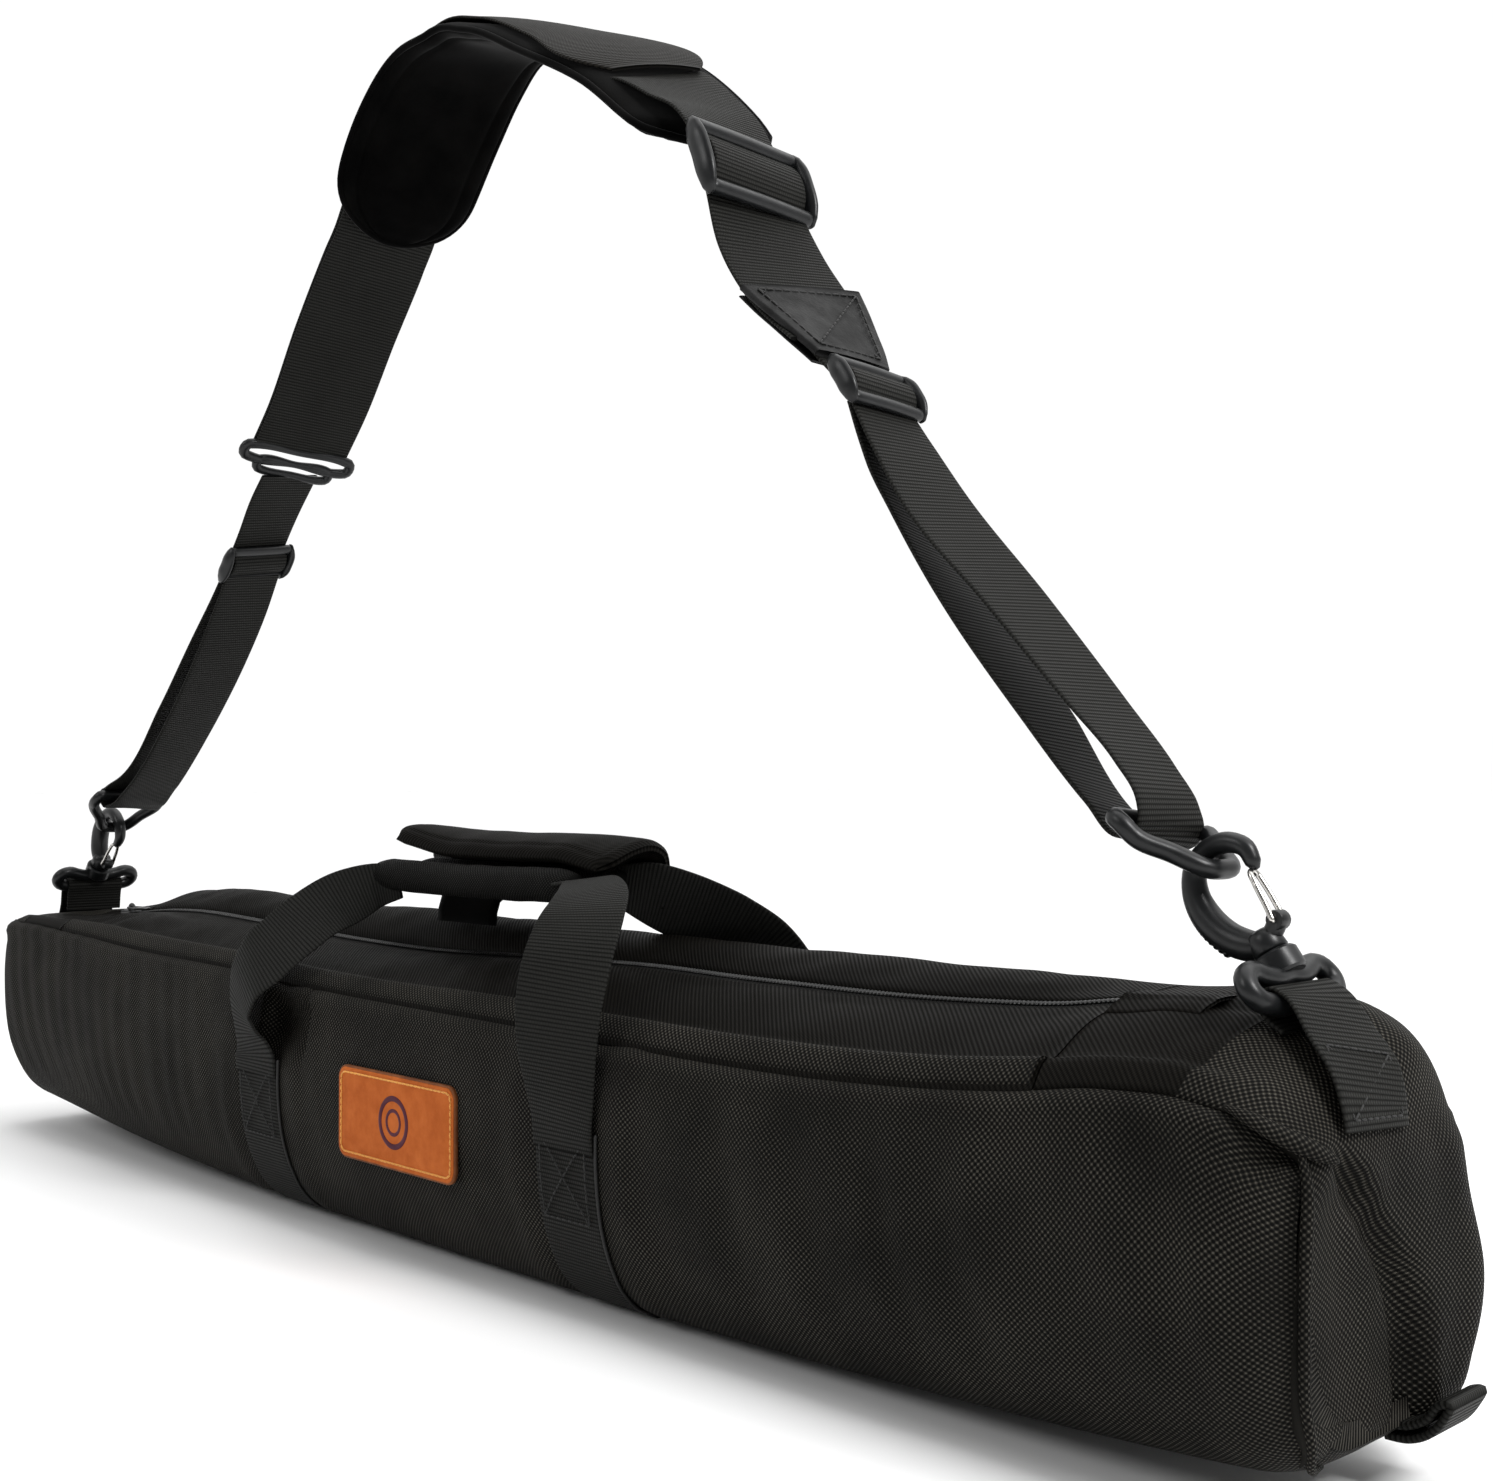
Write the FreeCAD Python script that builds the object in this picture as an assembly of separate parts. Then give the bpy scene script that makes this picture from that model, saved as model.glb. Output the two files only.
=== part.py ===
import FreeCAD, Part
import math
import os

# Padded carry case for a telescope tripod or a long tube.
# Origin: middle of the flat belly, on the surface the case rests on.
# +X runs along the case to the near end, +Z is up, the badge faces -Y. Millimetres.

V = FreeCAD.Vector

# ---- driving dimensions -------------------------------------------------
CASE_LENGTH = 910.0
SEAM_Y = 58.0             # top corner seam, from the middle plane
SEAM_Z = 118.0
BELLY_FLAT_Y = 28.0       # half width of the flat belly strip
END_LIFT = 14.0           # how far the belly rises at both ends
FLAT_HALF_LENGTH = 180.0  # the belly is flat over this half length
FABRIC = 1.5
FOAM = 7.0
LINING = 0.8
ZIP_Z = 134.0             # top of the closed coil
TAPE_Y = 14.0             # outer edge of a zip tape
LID_HALF_LENGTH = 366.0   # the opening top runs between these stations
GUSSET_BREAK = 424.0      # the fixed end gussets slope down from here

WEB = 1.6                 # webbing thickness
NARROW = 38.0             # narrow webbing
WIDE = 55.0               # wide webbing
BAND_X = {"near": 138.5, "far": -109.5}   # middles of the belly bands
BAND_TOP_Z = 100.0        # the bands are sewn up to here, the handles go on above
HANDLE_PIVOT_Y = 67.2
GRIP_X0, GRIP_X1 = -74.0, 81.0

PAD_WIDTH = 72.0
PAD_THICK = 9.0

GAP = 0.4                 # running gap between bodies

NEAR_X = CASE_LENGTH / 2
os.makedirs("parts", exist_ok=True)


# ---- drawing helpers ------------------------------------------------------
def save(name, *solids):
    """Write one node, a single solid or a group of separate ones."""
    shape = solids[0] if len(solids) == 1 else Part.makeCompound(list(solids))
    shape.exportStep(f"parts/{name}.step")
    print(f"{name:24s} solids {len(shape.Solids)} volume {shape.Volume:12.1f} valid {shape.isValid()}")


def closed_wire(points):
    return Part.makePolygon(list(points) + [points[0]])


def prism(points, direction):
    return Part.Face(closed_wire(points)).extrude(direction)


def prism_x(outline, x0, x1):
    """Outline of (y, z) points, from x0 to x1."""
    return prism([V(x0, y, z) for y, z in outline], V(x1 - x0, 0, 0))


def prism_y(outline, y0, y1):
    """Outline of (x, z) points, from y0 to y1."""
    return prism([V(x, y0, z) for x, z in outline], V(0, y1 - y0, 0))


def block(x0, x1, y0, y1, z0, z1):
    return Part.makeBox(x1 - x0, y1 - y0, z1 - z0, V(x0, y0, z0))


def rod(start, end, radius):
    axis = end - start
    return Part.makeCylinder(radius, axis.Length, start, axis)


def offset_line(points, distance):
    """Open polyline moved sideways (to its left) by distance, with mitred corners."""
    moved = []
    count = len(points)
    for i, (a, b) in enumerate(points):
        normals = []
        for j in (i - 1, i):
            if 0 <= j < count - 1:
                du = points[j + 1][0] - points[j][0]
                dv = points[j + 1][1] - points[j][1]
                size = math.hypot(du, dv)
                normals.append((-dv / size, du / size))
        nu = sum(n[0] for n in normals) / len(normals)
        nv = sum(n[1] for n in normals) / len(normals)
        scale = distance / (nu * nu + nv * nv)
        moved.append((a + nu * scale, b + nv * scale))
    return moved


def strip(path, width, low=-WEB / 2, high=WEB / 2, y=0.0):
    """Webbing along a path of (x, z) points, low to high off the path, width along Y."""
    outline = offset_line(path, high) + offset_line(path, low)[::-1]
    return prism_y(outline, y - width / 2, y + width / 2)


def rounded_path(points, radius, closed=True):
    """Wire of straight runs joined by tangent arcs at the given corners."""
    count = len(points)
    edges = []
    corners = range(count) if closed else range(1, count - 1)
    arcs = {}
    for i in corners:
        before = points[i - 1] - points[i]
        after = points[(i + 1) % count] - points[i]
        half = before.getAngle(after) / 2
        cut = min(radius / math.tan(half), 0.46 * before.Length, 0.46 * after.Length)
        p = points[i] + before.normalize() * cut
        q = points[i] + after.normalize() * cut
        inward = (before + after).normalize()
        middle = points[i] + inward * (cut / math.cos(half) - cut * math.tan(half))
        arcs[i] = (p, middle, q)
    spans = range(count) if closed else range(count - 1)
    for i in spans:
        if i in arcs:
            edges.append(Part.Arc(*arcs[i]).toShape())
        start = arcs[i][2] if i in arcs else points[i]
        j = (i + 1) % count
        end = arcs[j][0] if j in arcs else points[j]
        if (end - start).Length > 1e-6:
            edges.append(Part.LineSegment(start, end).toShape())
    return Part.Wire(Part.__sortEdges__(edges))


def tube(points, wire_radius, bend, closed=True):
    """Round bar bent along the points."""
    path = rounded_path(points, bend, closed)
    first = path.OrderedEdges[0]
    start = first.valueAt(first.FirstParameter)
    tangent = first.tangentAt(first.FirstParameter)
    ring = Part.Wire(Part.makeCircle(wire_radius, start, tangent))
    return path.makePipeShell([ring], True, True)


def local_frame(origin, along, across):
    """Function that places (u, v, w): v along, u across, w square to both."""
    a = V(*along).normalize()
    c = V(*across).normalize()
    n = a.cross(c)

    def place(u, v, w=0.0):
        return origin + c * u + a * v + n * w
    return place


# ---- padded shell ---------------------------------------------------------
HALF_BELLY = [(BELLY_FLAT_Y, 0.0), (46.0, 9.0), (58.0, 28.0), (64.0, 55.0), (65.5, 78.0),
              (63.0, 100.0), (SEAM_Y, SEAM_Z)]
TROUGH = HALF_BELLY[::-1] + [(-y, z) for y, z in HALF_BELLY]
CORNER = len(HALF_BELLY) - 1      # index of the rear belly corner in TROUGH
LAST = len(TROUGH) - 1


def trough_line(depth):
    """Shell line at a depth inside the outer skin, rear seam to front seam."""
    line = offset_line(TROUGH, -depth)
    line[0] = (line[0][0], SEAM_Z)
    line[-1] = (line[-1][0], SEAM_Z)
    return line


def lifted(outline, x):
    """Belly curve raised towards the ends."""
    beyond = max(0.0, abs(x) - FLAT_HALF_LENGTH) / (NEAR_X - FLAT_HALF_LENGTH)
    rise = END_LIFT * beyond
    return [(y, z + rise * (1 - z / SEAM_Z)) for y, z in outline]


def shell_panel(first, last, depth0, depth1, x_end=NEAR_X):
    """Part of the trough between two corners of its outline and two depths."""
    outline = trough_line(depth0)[first:last + 1] + trough_line(depth1)[first:last + 1][::-1]
    wires = []
    for x in (-x_end, -FLAT_HALF_LENGTH, FLAT_HALF_LENGTH, x_end):
        wires.append(closed_wire([V(x, y, z) for y, z in lifted(outline, x)]))
    return Part.makeLoft(wires, True, True)


SPANS = {"rear": (0, CORNER), "base": (CORNER, CORNER + 1), "front": (CORNER + 1, LAST)}
END_THICK = FABRIC + FOAM
for side, (first, last) in SPANS.items():
    save(f"{side}_panel", shell_panel(first, last, 0.0, FABRIC, NEAR_X - FABRIC))
    save(f"{side}_foam", shell_panel(first, last, FABRIC, FABRIC + FOAM, NEAR_X - END_THICK))
save("inner_lining", shell_panel(0, LAST, FABRIC + FOAM, FABRIC + FOAM + LINING, NEAR_X - END_THICK))

for end, sign in (("near", 1), ("far", -1)):
    skin = lifted(trough_line(0.0), NEAR_X)
    core = lifted(trough_line(FABRIC + 0.2), NEAR_X)
    save(f"{end}_end_panel", prism_x(skin, sign * (NEAR_X - FABRIC), sign * NEAR_X))
    save(f"{end}_end_foam", prism_x(core, sign * (NEAR_X - END_THICK), sign * (NEAR_X - FABRIC)))


# ---- top: two hinged panels, end gussets, zip ---------------------------
LID_Z = SEAM_Z + 0.4
LID_LINE = [(SEAM_Y - 0.4, LID_Z), (40.0, 127.0), (TAPE_Y, ZIP_Z - 1.4)]
PIPING_R = 1.5


def mirrored(outline, side):
    return [(side * y, z) for y, z in outline]


def thick_line(line, low, high):
    """Closed outline between z offsets low and high of a (y, z) line."""
    return [(y, z + high) for y, z in line] + [(y, z + low) for y, z in line[::-1]]


for name, side in (("front", -1), ("rear", 1)):
    x1 = LID_HALF_LENGTH
    save(f"{name}_top_panel", prism_x(mirrored(thick_line(LID_LINE, 0.0, FABRIC), side), -x1, x1))
    foam_line = [(48.6, 121.6), (40.0, 126.6), (TAPE_Y + 1, ZIP_Z - 2.0)]
    foam = prism_x(mirrored(thick_line(foam_line, -FOAM + 1.5, -0.2), side), 1 - x1, x1 - 1)
    save(f"{name}_top_foam", foam)
    tape = [(TAPE_Y - 0.2, ZIP_Z - 2.6), (TAPE_Y - 0.2, ZIP_Z - 1.8), (1.4, ZIP_Z - 1.0), (1.4, ZIP_Z - 1.8)]
    save(f"{name}_zip_tape", prism_x(mirrored(tape, side), -x1, x1))
    coil = [(0.7, ZIP_Z - 0.9), (3.4, ZIP_Z - 0.9), (3.4, ZIP_Z + 0.7), (0.7, ZIP_Z + 0.7)]
    save(f"{name}_zip_coil", prism_x(mirrored(coil, side), -x1, x1))

pipings = []
for side in (-1, 1):
    ends = [V(sign * (NEAR_X - 2), side * (SEAM_Y + 2.2), SEAM_Z - 2.0) for sign in (-1, 1)]
    pipings.append(rod(ends[0], ends[1], PIPING_R))
save("seam_piping", *pipings)

# Upper line of a gusset from its sewn edge to the middle, below the coil, and the same at its low end.
GUSSET_LINE = [(SEAM_Y - 0.4, LID_Z + 1.4), (40.0, 126.7), (TAPE_Y, ZIP_Z - 1.7), (0.0, ZIP_Z - 1.7)]
GUSSET_END_LINE = [(SEAM_Y - 0.4, LID_Z + 1.4), (40.0, LID_Z + 2.0), (TAPE_Y, LID_Z + 2.4), (0.0, LID_Z + 2.4)]
GUSSET_THICK = 1.6
stubs = []
for end, sign in (("near", 1), ("far", -1)):
    wires = []
    for x, half in ((LID_HALF_LENGTH + 0.6, GUSSET_LINE), (GUSSET_BREAK, GUSSET_LINE), (NEAR_X, GUSSET_END_LINE)):
        line = half + [(-y, z) for y, z in half[-2::-1]]
        wires.append(closed_wire([V(sign * x, y, z) for y, z in thick_line(line, -GUSSET_THICK, 0.0)]))
    save(f"{end}_top_gusset", Part.makeLoft(wires, True, True))
    x0, x1 = sorted((sign * (LID_HALF_LENGTH + 0.6), sign * (LID_HALF_LENGTH + 34)))
    for y in (-1, 1):
        coil = [(0.7, ZIP_Z - 0.9), (3.4, ZIP_Z - 0.9), (3.4, ZIP_Z + 0.7), (0.7, ZIP_Z + 0.7)]
        stubs.append(prism_x(mirrored(coil, y), x0, x1))
save("zip_end_coils", *stubs)

# Zip slider: top plate, thin post between the coils, and a low arch for the pull.
SLIDER_X = -(LID_HALF_LENGTH + 18)
SLIDER_HALF = 6.0
PLATE_Z = ZIP_Z + 0.7 + GAP
plate = block(SLIDER_X - SLIDER_HALF, SLIDER_X + SLIDER_HALF, -4.5, 4.5, PLATE_Z, PLATE_Z + 1.4)
cheeks = [block(SLIDER_X - SLIDER_HALF, SLIDER_X + SLIDER_HALF, y - 0.5, y + 0.5, ZIP_Z - 0.6, PLATE_Z)
          for y in (-4.4, 4.4)]
PULL_PIN_Z = PLATE_Z + 3.2
arch_outline = [(-4.0, PLATE_Z + 1.2), (4.0, PLATE_Z + 1.2), (3.0, PLATE_Z + 5.2), (-3.0, PLATE_Z + 5.2)]
arch = prism_y([(SLIDER_X + x, z) for x, z in arch_outline], -1.4, 1.4)
eye = rod(V(SLIDER_X, -2, PULL_PIN_Z), V(SLIDER_X, 2, PULL_PIN_Z), 1.25)
save("zip_slider", plate.fuse(cheeks + [arch]).cut(eye).removeSplitter())

PULL_LENGTH = 16.5
pull = block(SLIDER_X - 1.1, SLIDER_X + PULL_LENGTH, -4.6, 4.6, PULL_PIN_Z - 0.8, PULL_PIN_Z + 0.8)
window = block(SLIDER_X + 1.2, SLIDER_X + 7.4, -1.9, 1.9, PULL_PIN_Z - 2, PULL_PIN_Z + 2)
slot = block(SLIDER_X - 3.0, SLIDER_X + 1.3, -1.9, 1.9, PULL_PIN_Z - 2, PULL_PIN_Z + 2)
pull_pin = rod(V(SLIDER_X, -3.6, PULL_PIN_Z), V(SLIDER_X, 3.6, PULL_PIN_Z), 0.8)
save("zip_pull", pull.cut(window).cut(slot).fuse(pull_pin).removeSplitter())

# Fabric garage over the near end of the zip.
GARAGE_Z = PLATE_Z + 7.4
garage_outline = [(-17.0, ZIP_Z - 1.2), (-13.0, GARAGE_Z), (13.0, GARAGE_Z), (17.0, ZIP_Z - 1.2),
                  (15.6, ZIP_Z - 1.2), (12.2, GARAGE_Z - 1.2), (-12.2, GARAGE_Z - 1.2), (-15.6, ZIP_Z - 1.2)]
save("zip_garage", prism_x(garage_outline, LID_HALF_LENGTH + 2, LID_HALF_LENGTH + 38))


# ---- belly bands, stitching, badge ---------------------------------------
def band_outline():
    """Webbing line round the belly, over the skin, up to where the handles begin."""
    outer = [(y, z) for y, z in TROUGH if z <= BAND_TOP_Z]
    return offset_line(outer, 0.15), offset_line(outer, 0.15 + WEB)


inner, outer = band_outline()
for end, x in BAND_X.items():
    side_bands = []
    for side in (-1, 1):
        half_in = [(y, z) for y, z in inner if side * y > BELLY_FLAT_Y + 4]
        half_out = [(y, z) for y, z in outer if side * y > BELLY_FLAT_Y + 4]
        side_bands.append(prism_x(half_out + half_in[::-1], x - NARROW / 2, x + NARROW / 2))
    save(f"belly_band_{end}", *side_bands)

STITCH_R = 0.4
stitches = []
for x in BAND_X.values():
    for side in (-1, 1):
        corners = [V(x - 14, side * 66.9, 52), V(x + 14, side * 66.9, 52), V(x + 14, side * 67.9, 76),
                   V(x - 14, side * 67.9, 76)]
        for i, j in ((0, 1), (1, 2), (2, 3), (3, 0)):
            stitches.append(rod(corners[i], corners[j], STITCH_R))
save("box_stitching", *stitches)

BADGE_X0, BADGE_X1, BADGE_Z0, BADGE_Z1 = -31.0, 64.0, 43.0, 86.0
BADGE_Y = -67.2
badge = block(BADGE_X0, BADGE_X1, BADGE_Y, BADGE_Y + 1.6, BADGE_Z0, BADGE_Z1)
upright = [e for e in badge.Edges if abs(e.tangentAt(e.FirstParameter).y) > 0.9]
badge = badge.makeFillet(6.0, upright)
save("badge", badge)
ring_x, ring_z = (BADGE_X0 + BADGE_X1) / 2, (BADGE_Z0 + BADGE_Z1) / 2
ring_centre = V(ring_x, BADGE_Y, ring_z)
emblem = Part.makeCylinder(11.0, 0.5, ring_centre, V(0, -1, 0)).cut(
    Part.makeCylinder(9.6, 0.5, ring_centre, V(0, -1, 0)))
save("badge_emblem", emblem)


# ---- handles ----------------------------------------------------------------
ROLL_Y, ROLL_Z, ROLL_R = 13.0, 166.0, 9.0
LEG_SIDE_LINE = [(HANDLE_PIVOT_Y, BAND_TOP_Z + 0.8), (66.0, 122.0), (54.0, 143.0), (36.0, 158.0)]


def handle_leg(side, x_base, x_top):
    """Webbing leg that leans in over the top panel towards the grip."""
    outline = offset_line(LEG_SIDE_LINE, WEB / 2) + offset_line(LEG_SIDE_LINE, -WEB / 2)[::-1]
    low_z, top_z = LEG_SIDE_LINE[0][1], LEG_SIDE_LINE[-1][1]
    pieces = []
    for k in range(len(LEG_SIDE_LINE) - 1):
        wires = []
        for m in (k, k + 1):
            y_out, z_out = offset_line(LEG_SIDE_LINE, WEB / 2)[m]
            y_in, z_in = offset_line(LEG_SIDE_LINE, -WEB / 2)[m]
            share = (LEG_SIDE_LINE[m][1] - low_z) / (top_z - low_z)
            middle = x_base + (x_top - x_base) * share
            wires.append(closed_wire([V(middle - NARROW / 2, side * y_out, z_out),
                                      V(middle + NARROW / 2, side * y_out, z_out),
                                      V(middle + NARROW / 2, side * y_in, z_in),
                                      V(middle - NARROW / 2, side * y_in, z_in)]))
        pieces.append(Part.makeLoft(wires, True, True))
    return pieces[0].fuse(pieces[1:]).removeSplitter()


for name, side in (("front", -1), ("rear", 1)):
    near_leg = handle_leg(side, BAND_X["near"], GRIP_X1 + 22)
    far_leg = handle_leg(side, BAND_X["far"], GRIP_X0 - 22)
    core_line = [(36.0, 158.0), (24.0, 163.0), (ROLL_Y + 9.5, ROLL_Z)]
    core_out = offset_line(core_line, WEB / 2) + offset_line(core_line, -WEB / 2)[::-1]
    near_tip = prism_x(mirrored(core_out, side), GRIP_X1 + 3, GRIP_X1 + 41)
    far_tip = prism_x(mirrored(core_out, side), GRIP_X0 - 41, GRIP_X0 - 3)
    bar_y = sorted((side * 4.0, side * (ROLL_Y + 12)))
    bridge = block(GRIP_X0 - 30, GRIP_X1 + 30, bar_y[0], bar_y[1], ROLL_Z - 1, ROLL_Z + 1)
    webbing = near_leg.fuse([far_leg, near_tip, far_tip, bridge]).removeSplitter()
    save(f"{name}_handle_webbing", webbing)
    roll = Part.makeCylinder(ROLL_R, GRIP_X1 - GRIP_X0, V(GRIP_X0, side * ROLL_Y, ROLL_Z), V(1, 0, 0))
    save(f"{name}_grip_roll", roll.cut(bridge))

FLAP_X0, FLAP_X1 = -75.0, 95.0
FLAP_PIVOT_Y, FLAP_PIVOT_Z = 27.0, 178.0
flap_line = [(FLAP_PIVOT_Y + 1, FLAP_PIVOT_Z + 1.5), (22.0, 186.0), (6.0, 190.5), (-16.0, 191.0), (-30.0, 189.0)]
flap_outline = offset_line(flap_line, 3.0) + offset_line(flap_line, -3.0)[::-1]
save("grip_flap", prism_x(flap_outline, FLAP_X0, FLAP_X1))
flap_base_line = [(26.5, 160.0), (27.5, 168.0), (27.0, 175.0)]
base_outline = offset_line(flap_base_line, 1.2) + offset_line(flap_base_line, -1.2)[::-1]
save("grip_flap_root", prism_x(base_outline, GRIP_X0, GRIP_X1))


# ---- shoulder strap -----------------------------------------------------------
STRAP = {
    "near_ring_bar": (374.0, 204.0),
    "far_ring_bar": (-394.0, 208.0),
}


def ladder(centre, along, half_length, inner_width, rail, bar_radius):
    """Ladder slide: two bars over the webbing, one bar under it, two side rails."""
    place = local_frame(V(centre[0], 0, centre[1]), (along[0], 0, along[1]), (0, 1, 0))
    half = inner_width / 2
    lift = WEB / 2 + GAP + bar_radius
    bars = []
    for v, w in ((-half_length, -lift), (0.0, lift), (half_length, -lift)):
        bars.append(rod(place(-half - rail, v, w), place(half + rail, v, w), bar_radius))
    for sign in (-1, 1):
        u0, u1 = sign * half, sign * (half + rail)
        reach = half_length + bar_radius
        depth = lift + bar_radius
        corners = [place(u0, -reach, -depth), place(u0, reach, -depth), place(u0, reach, depth),
                   place(u0, -reach, depth)]
        bars.append(prism(corners, place(u1, 0) - place(u0, 0)))
    return bars[0].fuse(bars[1:]).removeSplitter()


NEAR_NARROW = [(231.0, 392.0), (262.0, 347.0), (280.0, 322.0), (317.0, 283.0), (351.0, 246.0),
               (371.0, 224.0), (379.6, 211.0), (380.6, 204.0), (377.0, 198.6), (371.0, 198.0),
               (357.0, 209.0), (327.0, 245.0), (297.0, 280.0), (268.0, 318.0), (262.0, 328.0)]
save("near_narrow_webbing", strip(NEAR_NARROW, NARROW))
NEAR_GLIDE = (247.0, 368.8)
save("near_triglide", ladder(NEAR_GLIDE, (-31.0, 45.0), 8.5, NARROW + 1.2, 3.6, 2.1))

NEAR_WIDE = [(227.5, 389.5), (208.0, 413.0), (191.0, 436.0), (185.0, 448.0), (168.0, 492.0), (158.0, 508.0),
             (141.0, 521.0), (122.0, 533.5)]
save("near_wide_webbing", strip(NEAR_WIDE, WIDE))
PATCH_LINE = [(230.5, 385.5), (207.0, 413.5)]
save("strap_patch", strip(PATCH_LINE, WIDE + 4, -3.3, -1.5))
WIDE_SLIDER = (176.5, 470.0)
save("wide_slider", ladder(WIDE_SLIDER, (-17.0, 44.0), 14.0, WIDE + 1.4, 4.4, 2.6))

PAD_LINE = [(141.0, 505.0), (112.0, 530.0), (62.0, 558.0), (20.0, 575.0), (-8.0, 579.0), (-31.0, 572.0),
            (-56.0, 553.0), (-74.0, 532.0), (-84.0, 516.0), (-91.0, 500.0)]
pad = strip(PAD_LINE, PAD_WIDTH, -PAD_THICK / 2, PAD_THICK / 2)
save("shoulder_pad", pad)
SLEEVE_LINE = PAD_LINE[1:-1]
save("pad_sleeve", strip(SLEEVE_LINE, WIDE + 8, -PAD_THICK / 2 - 3.6, -PAD_THICK / 2 - 0.1))

FAR_WIDE = [(-91.5, 515.5), (-97.0, 506.0), (-109.0, 492.0), (-137.0, 459.0), (-167.0, 420.0), (-182.0, 403.0)]
layers = [strip(FAR_WIDE, WIDE), strip(FAR_WIDE, WIDE, -4.2, -4.2 + WEB)]
save("far_wide_webbing", *layers)

ADAPTER = (-190.0, 396.5)
place = local_frame(V(ADAPTER[0], 0, ADAPTER[1]), (18.0, 0, 19.0), (0, 1, 0))
outline = [place(-32, 10, -1.8), place(32, 10, -1.8), place(32, 0, -1.8), place(23, -9, -1.8),
           place(-23, -9, -1.8), place(-32, 0, -1.8)]
adapter = prism(outline, place(0, 0, 1.8) - place(0, 0, -1.8))
for half, v0, v1 in ((WIDE / 2 + 0.5, 1.8, 6.0), (NARROW / 2 + 0.5, -5.4, -1.2)):
    corners = [place(-half, v0, -3), place(half, v0, -3), place(half, v1, -3), place(-half, v1, -3)]
    adapter = adapter.cut(prism(corners, place(0, 0, 3) - place(0, 0, -3)))
save("far_adapter", adapter)

FAR_NARROW = [(-197.6, 387.6), (-212.0, 375.0), (-224.0, 361.0), (-250.0, 330.5), (-281.0, 300.0), (-321.0, 264.0),
              (-375.0, 222.0), (-392.0, 214.4), (-399.0, 211.0), (-400.2, 204.6), (-395.0, 201.8), (-386.0, 203.0),
              (-366.0, 213.0), (-316.0, 249.0), (-276.0, 286.0), (-250.0, 312.0)]
save("far_narrow_webbing", strip(FAR_NARROW, NARROW))
FAR_GLIDE = (-237.0, 345.75)
save("far_triglide", ladder(FAR_GLIDE, (-26.0, -30.5), 8.5, NARROW + 1.2, 3.6, 2.1))


# ---- swivel snap hooks --------------------------------------------------------
HOOK_TOP = 52.5           # bar centre to the outside of the hook's crown
HOOK_WIRE = 3.3
RING_WIRE = 3.0
STUD_R = 2.2
BLOCK_R = 6.3


def swivel_hook(end, bar, tilt, ring_bar, spin):
    """Tab loop, swivel base, hook, wire gate and strap ring of one end.

    bar is the base bar's (x, z), tilt the hook's own axis, spin its turn about that axis.
    """
    origin = V(bar[0], 0, bar[1])
    base = local_frame(origin, tilt, (0, 1, 0))
    loop = [base(-20, 0), base(20, 0), base(24.5, 5), base(19, 10.5), base(7, 9), base(-7, 9),
            base(-19, 10.5), base(-24.5, 5)]
    frame_bar = tube(loop, 3.0, 4.5)
    collar = rod(base(0, 7), base(0, 14.5), 5.6)
    stud = rod(base(0, 10), base(0, 23.3), STUD_R - 0.08)
    head = rod(base(0, 22.5), base(0, 24.6), 3.6)
    save(f"{end}_swivel_base", frame_bar.fuse([collar, stud, head]).removeSplitter())

    axis = V(*tilt).normalize()
    side = FreeCAD.Rotation(axis, spin).multVec(V(0, 1, 0))
    hook = local_frame(origin, tilt, (side.x, side.y, side.z))
    neck = rod(hook(0, 14.9), hook(0, 21.9), BLOCK_R)
    back = [hook(-5.2, 18.4), hook(-11.0, 27.0), hook(-12.6, 41.0), hook(-6.0, HOOK_TOP - HOOK_WIRE),
            hook(6.0, HOOK_TOP - HOOK_WIRE), hook(12.2, 42.5), hook(11.0, 36.6)]
    bow = tube(back, HOOK_WIRE, 9.0, closed=False)
    lug = rod(hook(8.2, 19.0, -2.6), hook(8.2, 19.0, 2.6), 3.0)
    web = rod(hook(3.0, 18.4), hook(8.2, 19.0), 2.6)
    body = bow.fuse([neck, lug, web])
    body = body.cut(rod(hook(0, 10), hook(0, 30), STUD_R)).removeSplitter()
    save(f"{end}_hook", body)

    gate_bend = [hook(8.2, 19.0, -3.9), hook(8.9, 31.4, -3.2), hook(8.9, 31.4, 3.2), hook(8.2, 19.0, 3.9)]
    gate = tube(gate_bend, 0.8, 2.0, closed=False)
    save(f"{end}_gate", gate)
    pivot = hook(8.2, 19.0)
    normal = hook(0, 0, 1) - hook(0, 0, 0)
    print(f"{end} swivel axis", [round(c, 4) for c in axis], "at", [round(c, 3) for c in origin])
    print(f"{end} gate pivot", [round(c, 3) for c in pivot], "normal", [round(c, 4) for c in normal])

    seat = base(0, HOOK_TOP - 2 * HOOK_WIRE - RING_WIRE - 0.5)
    top = V(ring_bar[0], 0, ring_bar[1])
    ring_place = local_frame(seat, tuple(top - seat), (0, 1, 0))
    rise = (top - seat).Length
    outline = [ring_place(-8, 0), ring_place(8, 0), ring_place(24.2, rise - 5), ring_place(22.8, rise),
               ring_place(-22.8, rise), ring_place(-24.2, rise - 5)]
    ring = tube(outline, RING_WIRE, 5.0)
    save(f"{end}_ring", ring)
    print(f"{end} ring seat", [round(c, 2) for c in seat], "rise", round(rise, 2))


NEAR_BAR = (424.0, 155.5)
FAR_BAR = (-444.0, 155.5)
swivel_hook("near", NEAR_BAR, (-0.58, 0, 0.815), STRAP["near_ring_bar"], -90.0)
swivel_hook("far", FAR_BAR, (0.62, 0, 0.785), STRAP["far_ring_bar"], -90.0)


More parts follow.
